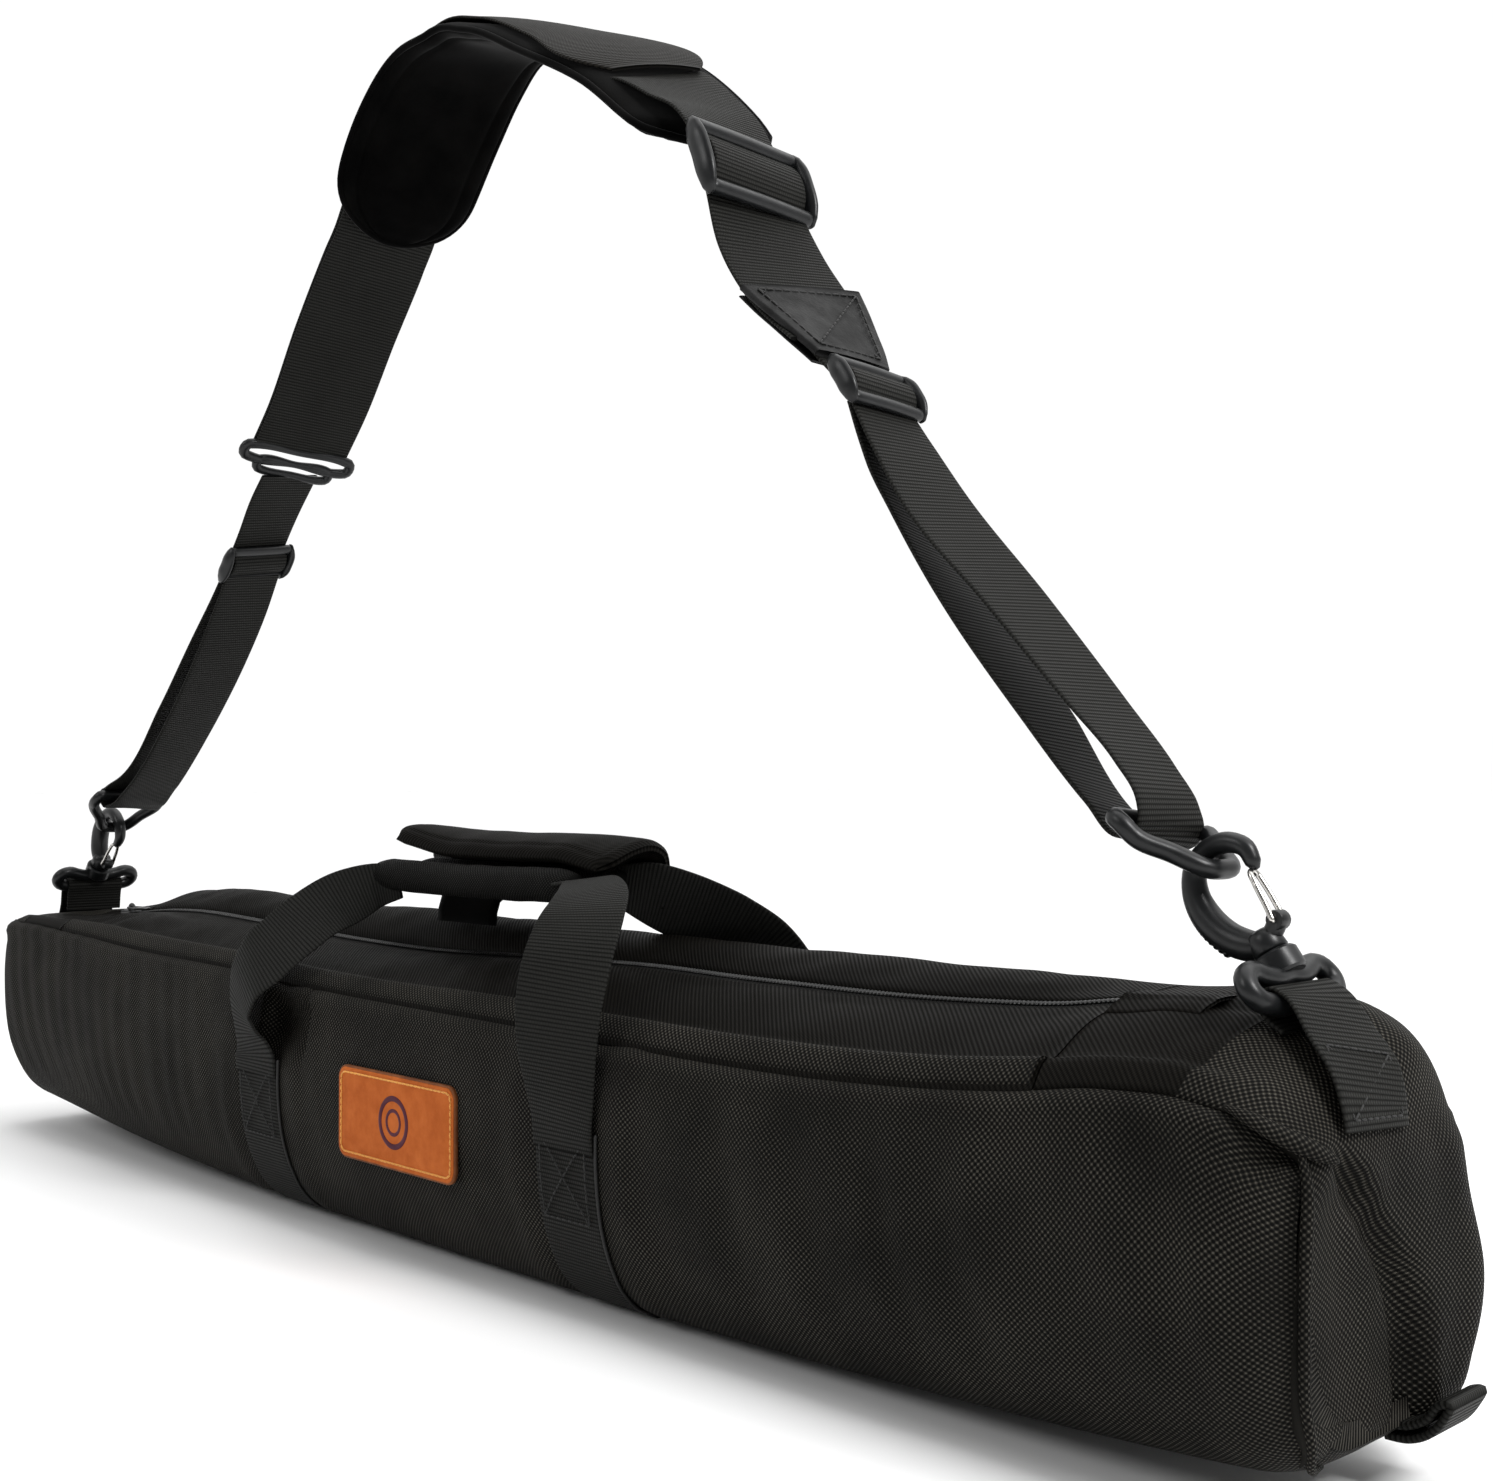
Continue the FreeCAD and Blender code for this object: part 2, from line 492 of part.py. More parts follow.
# ---- end tabs and grab loop ---------------------------------------------------
def end_tab(end, sign, bar, foot):
    """Webbing that is sewn to the end gusset and loops round the base bar."""
    bx, bz = bar
    reach = 4.7
    path = [foot]
    for degrees in (45, 90, 135, 180, 225):
        turn = math.radians(degrees)
        path.append((bx + sign * reach * math.cos(turn), bz + reach * math.sin(turn)))
    path.append((foot[0] - sign * 5.0, foot[1] - 1.0))
    width = NARROW - 2
    save(f"{end}_tab", strip(path, width))


end_tab("near", 1, NEAR_BAR, (NEAR_X + 2.5, 125.5))
end_tab("far", -1, FAR_BAR, (-NEAR_X - 5.0, 128.0))

GRAB_Z = 20.0
grab_line = [(NEAR_X + 3.2, GRAB_Z + 3.6), (NEAR_X + 11.0, GRAB_Z), (NEAR_X + 26.0, GRAB_Z - 1)]
save("grab_tab", strip(grab_line, 24.0, -1.6, 1.6, y=40.0))
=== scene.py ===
"""Padded carry case with a shoulder strap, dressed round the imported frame. Sizes in mm."""
import bisect
import math

import bpy
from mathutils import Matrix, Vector, noise


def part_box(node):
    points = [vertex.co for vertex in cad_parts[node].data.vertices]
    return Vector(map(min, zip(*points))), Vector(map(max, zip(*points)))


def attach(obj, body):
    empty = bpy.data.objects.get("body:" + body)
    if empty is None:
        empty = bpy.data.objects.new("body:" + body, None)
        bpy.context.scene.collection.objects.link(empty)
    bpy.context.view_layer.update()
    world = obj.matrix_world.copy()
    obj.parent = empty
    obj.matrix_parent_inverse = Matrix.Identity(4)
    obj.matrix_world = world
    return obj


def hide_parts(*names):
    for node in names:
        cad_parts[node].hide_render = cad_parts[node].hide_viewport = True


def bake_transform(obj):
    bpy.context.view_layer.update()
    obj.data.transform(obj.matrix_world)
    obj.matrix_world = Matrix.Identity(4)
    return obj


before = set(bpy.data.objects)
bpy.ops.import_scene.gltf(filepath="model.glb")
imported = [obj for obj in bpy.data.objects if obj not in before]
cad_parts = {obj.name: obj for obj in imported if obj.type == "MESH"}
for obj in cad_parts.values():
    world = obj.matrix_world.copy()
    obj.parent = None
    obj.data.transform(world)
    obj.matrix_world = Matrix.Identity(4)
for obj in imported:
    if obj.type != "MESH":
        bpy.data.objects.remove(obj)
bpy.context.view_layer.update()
MM = 0.001
UV = "weave"          # every piece's texture map, in mm along and across the cloth


# ---- lines and profiles ---------------------------------------------------
def ramp(x, x0, x1):
    t = min(1.0, max(0.0, (x - x0) / (x1 - x0)))
    return t * t * (3 - 2 * t)


def bump(x, middle, half):
    """Smooth hump, 1 in the middle and 0 beyond the half width."""
    return ramp(half - abs(x - middle), 0.0, half)


def knots_of(points):
    knots = [0.0]
    for a, b in zip(points, points[1:]):
        knots.append(knots[-1] + max(1e-6, math.dist(a[:3], b[:3])))
    return knots


def slopes_of(points, knots, closed=False):
    last = len(points) - 1
    slopes = []
    for i in range(last + 1):
        before, after = i - 1, i + 1
        h0 = knots[i] - knots[i - 1] if i > 0 else None
        h1 = knots[i + 1] - knots[i] if i < last else None
        if closed and i in (0, last):
            before, after = last - 1, 1
            h0, h1 = knots[last] - knots[last - 1], knots[1]
        if h0 is None:
            slopes.append([(b - a) / h1 for a, b in zip(points[i], points[after])])
        elif h1 is None:
            slopes.append([(b - a) / h0 for a, b in zip(points[before], points[i])])
        else:
            slopes.append([((b - a) / h0 * h1 + (c - b) / h1 * h0) / (h0 + h1)
                           for a, b, c in zip(points[before], points[i], points[after])])
    return slopes


def hermite(p, q, m, n, h, t):
    a, b = 2 * t ** 3 - 3 * t ** 2 + 1, -2 * t ** 3 + 3 * t ** 2
    c, d = (t ** 3 - 2 * t ** 2 + t) * h, (t ** 3 - t ** 2) * h
    return [a * i + b * j + c * k + d * l for i, j, k, l in zip(p, q, m, n)]


def through(points, step, closed=False):
    """Smooth line through the points with a sample about every step."""
    points = [[float(c) for c in p] for p in points]
    if closed:
        points.append(points[0])
    knots = knots_of(points)
    slopes = slopes_of(points, knots, closed)
    line = []
    for i in range(len(points) - 1):
        h = knots[i + 1] - knots[i]
        count = max(1, round(h / step))
        for k in range(count):
            line.append(hermite(points[i], points[i + 1], slopes[i], slopes[i + 1], h, k / count))
    if not closed:
        line.append(points[-1])
    return line


def resampled(points, count):
    """Smooth line through the points as count evenly spaced samples."""
    points = [[float(c) for c in p] for p in points]
    knots = knots_of(points)
    slopes = slopes_of(points, knots)
    line = []
    for k in range(count):
        s = knots[-1] * k / (count - 1)
        i = min(len(points) - 2, bisect.bisect_right(knots, s) - 1)
        h = knots[i + 1] - knots[i]
        line.append(hermite(points[i], points[i + 1], slopes[i], slopes[i + 1], h, (s - knots[i]) / h))
    return line


def profile(table):
    """Function of x that runs smoothly through the (x, value) pairs."""
    xs = [float(x) for x, _ in table]
    values = [[float(v)] for _, v in table]
    slopes = slopes_of(values, xs)

    def value(x):
        x = min(xs[-1], max(xs[0], x))
        i = min(len(xs) - 2, max(0, bisect.bisect_right(xs, x) - 1))
        h = xs[i + 1] - xs[i]
        return hermite(values[i], values[i + 1], slopes[i], slopes[i + 1], h, (x - xs[i]) / h)[0]
    return value


# ---- shapes: (points in mm, faces, a texture point for each face corner) ------
def plate(outer, inner, uv=None):
    """Closed piece between two matching sheets of rows."""
    rows = [list(a) + list(b)[::-1] for a, b in zip(outer, inner)]
    n, count = len(outer[0]), 2 * len(outer[0])
    if uv is None:
        across = knots_of(outer[len(outer) // 2])
        run = knots_of([row[n // 2] for row in outer])
        uv = [[(across[j], run[i]) for j in range(n)] for i in range(len(outer))]
    texture = [list(row) + list(row)[::-1] for row in uv]
    points = [Vector(p[:3]) for row in rows for p in row]
    faces, corners = [], []
    for i in range(len(rows) - 1):
        for j in range(count):
            k = (j + 1) % count
            faces.append((i * count + j, i * count + k, (i + 1) * count + k, (i + 1) * count + j))
            corners += [texture[i][j], texture[i][k], texture[i + 1][k], texture[i + 1][j]]
    for i, turn in ((0, 1), (len(rows) - 1, -1)):
        for j in range(n - 1):
            ring = [j, j + 1, count - 2 - j, count - 1 - j][::turn]
            faces.append(tuple(i * count + k for k in ring))
            corners += [texture[i][k] for k in ring]
    return points, faces, corners


def outward(line, k):
    """Unit normal of a line of (y, z) points at point k."""
    a, b = line[max(0, k - 1)], line[min(len(line) - 1, k + 1)]
    size = math.dist(a, b)
    return (b[1] - a[1]) / size, -(b[0] - a[0]) / size


def ringed(points, rings, sides, texture, closed=False, caps=True):
    """Shape from rings of points; texture(k, i) is the texture point of corner k of ring i."""
    faces, corners = [], []
    for i in range(rings if closed else rings - 1):
        here, there = i * sides, (i + 1) % rings * sides
        for k in range(sides):
            m = (k + 1) % sides
            faces.append((here + k, here + m, there + m, there + k))
            corners += [texture(k, i), texture(k + 1, i), texture(k + 1, i + 1), texture(k, i + 1)]
    if caps and not closed:
        for i, turn in ((0, -1), (rings - 1, 1)):
            faces.append(tuple(i * sides + k for k in range(sides))[::turn])
            corners += [texture(k, i) for k in range(sides)][::turn]
    return points, faces, corners


def normals_of(rows):
    result = []
    for i, row in enumerate(rows):
        up, down = rows[max(0, i - 1)], rows[min(len(rows) - 1, i + 1)]
        line = []
        for j in range(len(row)):
            a = Vector(down[j][:3]) - Vector(up[j][:3])
            b = Vector(row[min(len(row) - 1, j + 1)][:3]) - Vector(row[max(0, j - 1)][:3])
            line.append(a.cross(b).normalized())
        result.append(line)
    return result


def sheet(rows, thick, flip=1):
    """Plate of one thickness below a sheet of rows."""
    normals = normals_of(rows)
    inner = [[Vector(p[:3]) - n * (flip * thick) for p, n in zip(row, line)]
             for row, line in zip(rows, normals)]
    return plate(rows, inner)


def frames_along(line, step):
    """(centre, width direction, normal, run, width share) down a line of strap stations."""
    samples = through(line, step)
    centres = [Vector(s[:3]) for s in samples]
    run = knots_of(samples)
    result = []
    for i, s in enumerate(samples):
        tangent = (centres[min(len(centres) - 1, i + 1)] - centres[max(0, i - 1)]).normalized()
        side = Vector(s[3:6])
        side = (side - tangent * side.dot(tangent)).normalized()
        result.append((centres[i], side, tangent.cross(side), run[i], s[6]))
    return result


def web_columns(width):
    """Stations across webbing: (offset, share of the thickness), finer at the edges."""
    half = width / 2
    edge = [(-half, 0.25), (-half + 0.35, 0.8), (-half + 1.2, 1.0)]
    inside = [(half * u, 1.0) for u in (-0.75, -0.5, -0.25, 0.0, 0.25, 0.5, 0.75)]
    return edge + inside + [(-u, share) for u, share in edge[::-1]]


def web(line, width, thick, step=2.0, crown=0.0, low=None, high=None):
    """Flat webbing along (x, y, z, width direction x, y, z, width share) stations."""
    low = -thick / 2 if low is None else low
    high = thick / 2 if high is None else high
    middle, outer, inner, uv = (low + high) / 2, [], [], []
    for centre, side, normal, run, share in frames_along(line, step):
        top, bottom, texture = [], [], []
        for u, fill in web_columns(width):
            cup = crown * (1 - (2 * u / width) ** 2)
            base = centre + side * (u * share) + normal * (middle + cup)
            reach = (high - low) / 2 * fill
            top.append(base + normal * reach)
            bottom.append(base - normal * reach)
            texture.append((u, run))
        outer.append(top)
        inner.append(bottom)
        uv.append(texture)
    return plate(outer, inner, uv)


def turned(x, z, yaw, tilt, share=1.0):
    """Strap station: yaw swings the rear edge to +X, tilt lifts it, in degrees."""
    a, b = math.radians(yaw), math.radians(tilt)
    return (x, 0.0, z, math.sin(a) * math.cos(b), math.cos(a) * math.cos(b), math.sin(b), share)


def rod(points, radius, closed=False, sides=12, flat=1.0, up=(0.0, 0.0, 1.0), step=1.5):
    """Round or flattened bar through the points; a fourth number scales its radius."""
    samples = through([list(p) + [1.0] * (4 - len(p)) for p in points], step, closed)
    centres = [Vector(s[:3]) for s in samples]
    count = len(centres)
    rows, reference = [], Vector(up)
    if not closed:
        first = (centres[0] - centres[1]).normalized()
        last = (centres[-1] - centres[-2]).normalized()
    run = knots_of(samples)
    stations = [(c, s[3], r) for c, s, r in zip(centres, samples, run)]
    if not closed:
        def rounded(end, away, share, along):
            return [(end + away * radius * share * a, share * b, along)
                    for a, b in ((0.85, 0.5), (1.0, 0.08))]
        head = rounded(centres[0], first, samples[0][3], 0.0)
        tail = rounded(centres[-1], last, samples[-1][3], run[-1])
        stations = head[::-1] + stations + tail
    total = len(stations)
    for i, (centre, share, _) in enumerate(stations):
        if closed:
            tangent = (centres[(i + 1) % count] - centres[i - 1]).normalized()
        else:
            tangent = (stations[min(total - 1, i + 1)][0] - stations[max(0, i - 1)][0]).normalized()
        side = reference - tangent * reference.dot(tangent)
        if side.length < 0.2:
            side = tangent.orthogonal()
        side.normalize()
        other = tangent.cross(side)
        row = []
        for k in range(sides):
            a = 2 * math.pi * k / sides
            row.append(centre + (side * math.cos(a) * flat + other * math.sin(a)) * (radius * share))
        rows.append(row)
        if flat == 1.0:
            reference = side
    girth = 2 * math.pi * radius / sides
    along = [r for _, _, r in stations] + [run[-1] + step]
    return ringed([p for row in rows for p in row], total, sides, lambda k, i: (k * girth, along[i]), closed)


def lathe(outline, origin, axis, sides=28):
    """Solid of revolution of (radius, height) points about an axis."""
    axis = Vector(axis).normalized()
    side = axis.orthogonal().normalized()
    other = axis.cross(side)
    points = []
    for r, h in outline:
        for k in range(sides):
            a = 2 * math.pi * k / sides
            points.append(Vector(origin) + axis * h + (side * math.cos(a) + other * math.sin(a)) * r)
    return ringed(points, len(outline), sides, lambda k, i: (k, outline[i][1]))


def make(name, shapes, material, body=None, replaces=(), sharp=None):
    """One named piece from several shapes, riding on a body if one is given."""
    points, faces, corners = [], [], []
    for p, f, c in shapes:
        base = len(points)
        points += [tuple(v * MM) for v in p]
        faces += [tuple(i + base for i in face) for face in f]
        corners += c
    mesh = bpy.data.meshes.new(name)
    mesh.from_pydata(points, [], faces)
    layer = mesh.uv_layers.new(name=UV)
    layer.data.foreach_set("uv", [n for c in corners for n in c])
    mesh.validate()
    mesh.shade_smooth()
    if sharp:
        mesh.set_sharp_from_angle(angle=math.radians(sharp))
    mesh.materials.append(material)
    piece = bpy.data.objects.new(name, mesh)
    bpy.context.scene.collection.objects.link(piece)
    if body:
        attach(piece, body)
    if replaces:
        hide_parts(*replaces)
    return piece


# ---- materials -------------------------------------------------------------
class Shader:
    """A node material with short ways to do sums on texture coordinates in mm."""

    def __init__(self, name, rough=0.6, **sockets):
        self.material = bpy.data.materials.new(name)
        self.material.use_nodes = True
        self.tree = self.material.node_tree
        self.shader = self.tree.nodes["Principled BSDF"]
        self.shader.inputs["Roughness"].default_value = rough
        for key, value in sockets.items():
            self.shader.inputs[key.replace("_", " ")].default_value = value

    def link(self, a, b):
        self.tree.links.new(a, b)

    def math(self, operation, *values):
        node = self.tree.nodes.new("ShaderNodeMath")
        node.operation = operation
        for socket, value in zip(node.inputs, values):
            if isinstance(value, (int, float)):
                socket.default_value = value
            else:
                self.link(value, socket)
        return node.outputs[0]

    def uv(self):
        node = self.tree.nodes.new("ShaderNodeUVMap")
        node.uv_map = UV
        split = self.tree.nodes.new("ShaderNodeSeparateXYZ")
        self.link(node.outputs[0], split.inputs[0])
        return split.outputs[0], split.outputs[1]

    def position(self):
        node = self.tree.nodes.new("ShaderNodeTexCoord")
        return node.outputs["Object"]

    def noise(self, size_mm, detail=3.0, rough=0.5):
        node = self.tree.nodes.new("ShaderNodeTexNoise")
        node.inputs["Scale"].default_value = 1000.0 / size_mm
        node.inputs["Detail"].default_value = detail
        node.inputs["Roughness"].default_value = rough
        self.link(self.position(), node.inputs["Vector"])
        return node.outputs["Fac"]

    def cells(self, size_mm):
        node = self.tree.nodes.new("ShaderNodeTexVoronoi")
        node.inputs["Scale"].default_value = 1000.0 / size_mm
        self.link(self.position(), node.inputs["Vector"])
        return node.outputs["Distance"]

    def wave(self, value, pitch):
        """Sine of a length in mm, -1 to 1."""
        return self.math("SINE", self.math("MULTIPLY", value, 2 * math.pi / pitch))

    def mix(self, factor, dark, light):
        node = self.tree.nodes.new("ShaderNodeMix")
        node.data_type = "RGBA"
        self.link(factor, node.inputs["Factor"])
        for key, colour in (("A", dark), ("B", light)):
            socket = [s for s in node.inputs if s.name == key and s.type == "RGBA"][0]
            socket.default_value = (*colour, 1.0)
        return [s for s in node.outputs if s.type == "RGBA"][0]

    def spread(self, value, low, high, out_low=0.0, out_high=1.0):
        node = self.tree.nodes.new("ShaderNodeMapRange")
        self.link(value, node.inputs["Value"])
        for key, number in (("From Min", low), ("From Max", high), ("To Min", out_low), ("To Max", out_high)):
            node.inputs[key].default_value = number
        return node.outputs["Result"]

    def colour(self, socket):
        self.link(socket, self.shader.inputs["Base Color"])

    def roughness(self, socket):
        self.link(socket, self.shader.inputs["Roughness"])

    def relief(self, *layers):
        """Bump from (height socket, depth in mm, strength) layers."""
        last = None
        for height, depth, strength in layers:
            node = self.tree.nodes.new("ShaderNodeBump")
            node.inputs["Distance"].default_value = depth * MM
            node.inputs["Strength"].default_value = strength
            self.link(height, node.inputs["Height"])
            if last:
                self.link(last, node.inputs["Normal"])
            last = node.outputs["Normal"]
        self.link(last, self.shader.inputs["Normal"])


def ballistic_nylon(name, pitch=2.2, dark=(0.0006, 0.0006, 0.0005), light=(0.080, 0.074, 0.061)):
    """Coarse basket weave with shiny yarn crowns; the crowns' lighter colour is a painted glint, in blotches
    of painted sheen, and the gaps are painted dark as shade.
    """
    s = Shader(name, 0.42, Specular_IOR_Level=0.07)
    u, v = s.uv()
    weave = s.math("MULTIPLY", s.wave(u, pitch), s.wave(v, pitch))
    height = s.math("POWER", s.math("MULTIPLY_ADD", weave, 0.5, 0.5), 3.4)
    fibres = s.noise(0.35, 2.0)
    cloud = s.noise(38.0, 4.0)
    # painted highlight on the yarn crowns, spread in painted sheen blotches by the cloud noise
    painted_glint = s.math("MULTIPLY", height, s.math("MULTIPLY", cloud, 1.9))
    s.colour(s.mix(painted_glint, dark, light))
    s.roughness(s.spread(height, 0.0, 1.0, 0.8, 0.3))
    s.relief((fibres, 0.05, 0.3), (height, 0.55, 1.0))
    return s.material


def twill_nylon(name, pitch=2.3, dark=(0.0008, 0.0007, 0.0006), light=(0.0095, 0.0087, 0.0072)):
    """Finer cloth with slanting ribs, painted lighter on the rib crowns and darker in the grooves as
    highlight and shade.
    """
    s = Shader(name, 0.5, Specular_IOR_Level=0.025)
    u, v = s.uv()
    slant = s.math("ADD", u, v)
    cross = s.math("SUBTRACT", u, v)
    ribs = s.math("MULTIPLY_ADD", s.wave(slant, pitch), 0.38, 0.5)
    height = s.math("ADD", ribs, s.math("MULTIPLY", s.wave(cross, 1.3), 0.12))
    cloud = s.noise(30.0, 4.0)
    # random tone plus painted highlight and shade that follow the rib height
    tone_and_painted_shade = s.math("MULTIPLY_ADD", cloud, 0.3, s.math("MULTIPLY", height, 0.7))
    s.colour(s.mix(tone_and_painted_shade, dark, light))
    s.roughness(s.spread(height, 0.0, 1.0, 0.75, 0.42))
    s.relief((s.noise(0.4, 2.0), 0.05, 0.3), (height, 0.30, 0.8))
    return s.material


def webbing_cloth(name, pitch=1.75, dark=(0.0009, 0.0009, 0.0008), light=(0.021, 0.021, 0.019)):
    """Ribbed strap webbing: a rib across the width every pitch, each a row of small picks, painted lighter on
    their crowns and darker in the hollows as highlight and shade.
    """
    s = Shader(name, 0.5, Specular_IOR_Level=0.06)
    u, v = s.uv()
    rib = s.math("ABSOLUTE", s.math("SINE", s.math("MULTIPLY", v, math.pi / pitch)))
    row = s.math("FLOOR", s.math("DIVIDE", v, pitch))
    pick = s.math("ABSOLUTE", s.math("SINE", s.math("MULTIPLY_ADD", u, math.pi / 1.3,
                                                    s.math("MULTIPLY", row, 1.57))))
    height = s.math("MULTIPLY", rib, s.math("MULTIPLY_ADD", pick, 0.35, 0.65))
    cloud = s.noise(26.0, 3.0)
    # random tone plus painted highlight and shade that follow the rib height
    tone_and_painted_shade = s.math("MULTIPLY_ADD", cloud, 0.25, s.math("MULTIPLY", height, 0.7))
    s.colour(s.mix(tone_and_painted_shade, dark, light))
    s.roughness(s.spread(height, 0.0, 1.0, 0.8, 0.42))
    s.relief((s.noise(0.3, 2.0), 0.04, 0.3), (height, 0.40, 0.8))
    return s.material


def velvet_cloth(name, dark=(0.0004, 0.0004, 0.0004), light=(0.0018, 0.0017, 0.0016)):
    s = Shader(name, 0.95, Specular_IOR_Level=0.04, Sheen_Weight=0.06, Sheen_Roughness=0.35)
    nap = s.noise(22.0, 4.0, 0.6)
    fine = s.noise(0.6, 2.0)
    s.colour(s.mix(s.spread(nap, 0.35, 0.65), dark, light))
    s.relief((fine, 0.12, 0.4))
    return s.material


def leather(name, dark, light, rough, grain_mm, depth=0.12):
    s = Shader(name, rough, Specular_IOR_Level=0.2)
    grain = s.cells(grain_mm)
    cloud = s.noise(9.0, 5.0, 0.6)
    s.colour(s.mix(s.spread(cloud, 0.3, 0.7), dark, light))
    s.roughness(s.spread(cloud, 0.3, 0.7, rough + 0.12, rough - 0.05))
    s.relief((grain, depth, 0.5), (s.noise(0.5, 3.0), 0.05, 0.3))
    return s.material


def moulded(name, dark, light, rough):
    """Satin moulded plastic with a faint bloom and scuffs."""
    s = Shader(name, rough, Specular_IOR_Level=0.3)
    cloud = s.noise(12.0, 4.0, 0.6)
    s.colour(s.mix(s.spread(cloud, 0.3, 0.7), dark, light))
    s.roughness(s.spread(s.noise(5.0, 5.0, 0.7), 0.3, 0.7, rough - 0.06, rough + 0.1))
    s.relief((s.noise(0.8, 2.0), 0.03, 0.25))
    return s.material


def metal(name, colour, rough):
    s = Shader(name, rough, Metallic=1.0)
    scratch = s.noise(1.6, 4.0, 0.7)
    s.colour(s.mix(scratch, tuple(c * 0.75 for c in colour), colour))
    s.roughness(s.spread(scratch, 0.3, 0.7, rough - 0.08, rough + 0.1))
    s.relief((s.noise(0.5, 2.0), 0.01, 0.3))
    return s.material


def thread_cloth(name, dark, light):
    s = Shader(name, 0.55, Specular_IOR_Level=0.3)
    u, v = s.uv()
    # the twist ridges are painted lighter and the grooves darker, as highlight and shade
    twist = s.math("MULTIPLY_ADD", s.wave(s.math("ADD", s.math("MULTIPLY", u, 0.6), v), 0.7), 0.5, 0.5)
    s.colour(s.mix(twist, dark, light))
    s.relief((twist, 0.08, 0.7))
    return s.material


SHELL = ballistic_nylon("shell_cloth")
TOP = twill_nylon("top_cloth")
WEBBING = webbing_cloth("webbing_cloth")
SLEEVE = webbing_cloth("sleeve_cloth", 2.1, (0.0007, 0.0007, 0.0006), (0.014, 0.0125, 0.0102))
VELVET = velvet_cloth("pad_velvet")
GRIP = ballistic_nylon("grip_cloth", 1.9, (0.0006, 0.0006, 0.0005), (0.030, 0.029, 0.026))
LINING = twill_nylon("lining_cloth", 1.4, (0.008, 0.008, 0.009), (0.026, 0.026, 0.028))
TAPE = webbing_cloth("tape_cloth", 1.0, (0.003, 0.003, 0.003), (0.018, 0.018, 0.017))
COIL = moulded("coil_nylon", (0.008, 0.008, 0.008), (0.026, 0.026, 0.025), 0.3)
PLASTIC = moulded("satin_plastic", (0.003, 0.0034, 0.0038), (0.007, 0.0075, 0.008), 0.34)
STEEL = metal("steel_wire", (0.62, 0.60, 0.57), 0.22)
ZIP_METAL = metal("zip_metal", (0.08, 0.08, 0.08), 0.35)
TAN = leather("badge_leather", (0.37, 0.078, 0.008), (0.50, 0.118, 0.013), 0.7, 0.9)
TAN_EDGE = leather("badge_edge", (0.10, 0.030, 0.010), (0.22, 0.070, 0.018), 0.6, 0.7)
PATCH = leather("patch_leather", (0.002, 0.002, 0.002), (0.006, 0.006, 0.006), 0.6, 1.1, 0.2)
INK = leather("badge_print", (0.055, 0.010, 0.022), (0.085, 0.016, 0.030), 0.6, 0.8, 0.05)
BLACK_THREAD = thread_cloth("black_thread", (0.003, 0.003, 0.003), (0.020, 0.020, 0.019))
TAN_THREAD = thread_cloth("tan_thread", (0.55, 0.22, 0.04), (0.86, 0.42, 0.10))


# ---- the case: outline of the padded trough ------------------------------
CASE_HALF = 455.0
SEAM_Z = 118.0                 # seam height in the side line below
FRONT, REAR = -1, 1
FOLD_PITCH = 19.5              # upright folds in the padded sides
TURN_WIDTH = 62.0              # the corners' turn is spread over this half width
SEAM_Y = 57.0                  # half width at the two seams beside the top
SIDE_LINE = [(0, 0), (20, 0), (30, 0.8), (40, 4.5), (50, 13), (58, 27.5), (62.5, 42), (64.8, 58),
             (65.5, 76), (64.8, 92), (62.6, 105), (60.0, 113), (57.8, 118)]
HALF = through(SIDE_LINE, 3.2)
LIP_KNOTS = knots_of(HALF[::-1])[::-1]      # distance of each sample from the seam

seam_front = profile([(-455, 131), (-417, 131.5), (-333, 128.5), (-280, 125.5), (-132, 121.5), (-71, 118.5),
                      (0, 117), (90, 116), (160, 114.6), (212, 113.8), (290, 115.3), (355, 120.5), (394, 126),
                      (420, 126.5), (438, 122), (455, 111)])
seam_rear = profile([(-455, 124), (-400, 128), (-300, 131), (0, 130), (300, 129), (430, 128), (455, 112)])
belly_lift = profile([(-455, 17), (-387, 12.5), (-305, 7.6), (-231, 3.6), (-164, 1.2), (-90, 0), (180, 0),
                      (240, 1.2), (299, 3.4), (351, 5.8), (398, 8.6), (439, 12), (455, 14)])


def seam_height(x, side):
    return seam_front(x) if side == FRONT else seam_rear(x)


def ripples(x, z, side):
    """Soft upright folds that the padding leaves in the skin, mm outwards."""
    wander = noise.noise(Vector((x / 55, z / 120, 4.0 * side)))
    folds = math.sin(2 * math.pi * (x + 0.22 * (z - 60)) / FOLD_PITCH + 3.4 * wander)
    crease = abs(math.sin(math.pi * (x + 0.2 * z) / FOLD_PITCH + 1.7 * wander))
    sharp = 0.6 * folds + 0.4 * (1 - 2 * crease)
    strength = 0.42 + 0.75 * ramp(-x, 110, 230) + 0.45 * bump(x, 240, 110)
    strength *= 0.75 + 0.5 * noise.noise(Vector((x / 90, z / 70, 9.0)))
    height = ramp(z, 14, 42) * ramp(seam_height(x, side) - z, 3, 22)
    slow = 1.1 * noise.noise(Vector((x / 75, z / 60, 2.0 + side)))
    broad = math.sin(2 * math.pi * (x + 0.3 * z) / 37 + 2.6 * wander) * ramp(x, 120, 200)
    return (0.5 * strength * sharp + 1.3 * slow + 0.9 * broad) * height


BAND_X = {"near": 138.5, "far": -109.5}
BADGE_X, BADGE_Z = 16.5, 64.5


def flattened(x, z):
    """Share of the folds that is left under the bands and the badge."""
    share = 1.0
    for middle in BAND_X.values():
        share *= 1 - 0.9 * ramp(34 - abs(x - middle), 0, 16)
    behind = ramp(62 - abs(x - BADGE_X), 0, 14) * ramp(36 - abs(z - BADGE_Z), 0, 14)
    return share * (1 - 0.85 * behind)


def corner_inset(x):
    """How far the skin has turned in at the rounded upright corners."""
    radius = 24.0
    reach = abs(x) - (CASE_HALF - radius * 0.9)
    if reach <= 0:
        return 0.0
    return radius * (1 - math.sqrt(1 - min(0.9, reach / radius) ** 2))


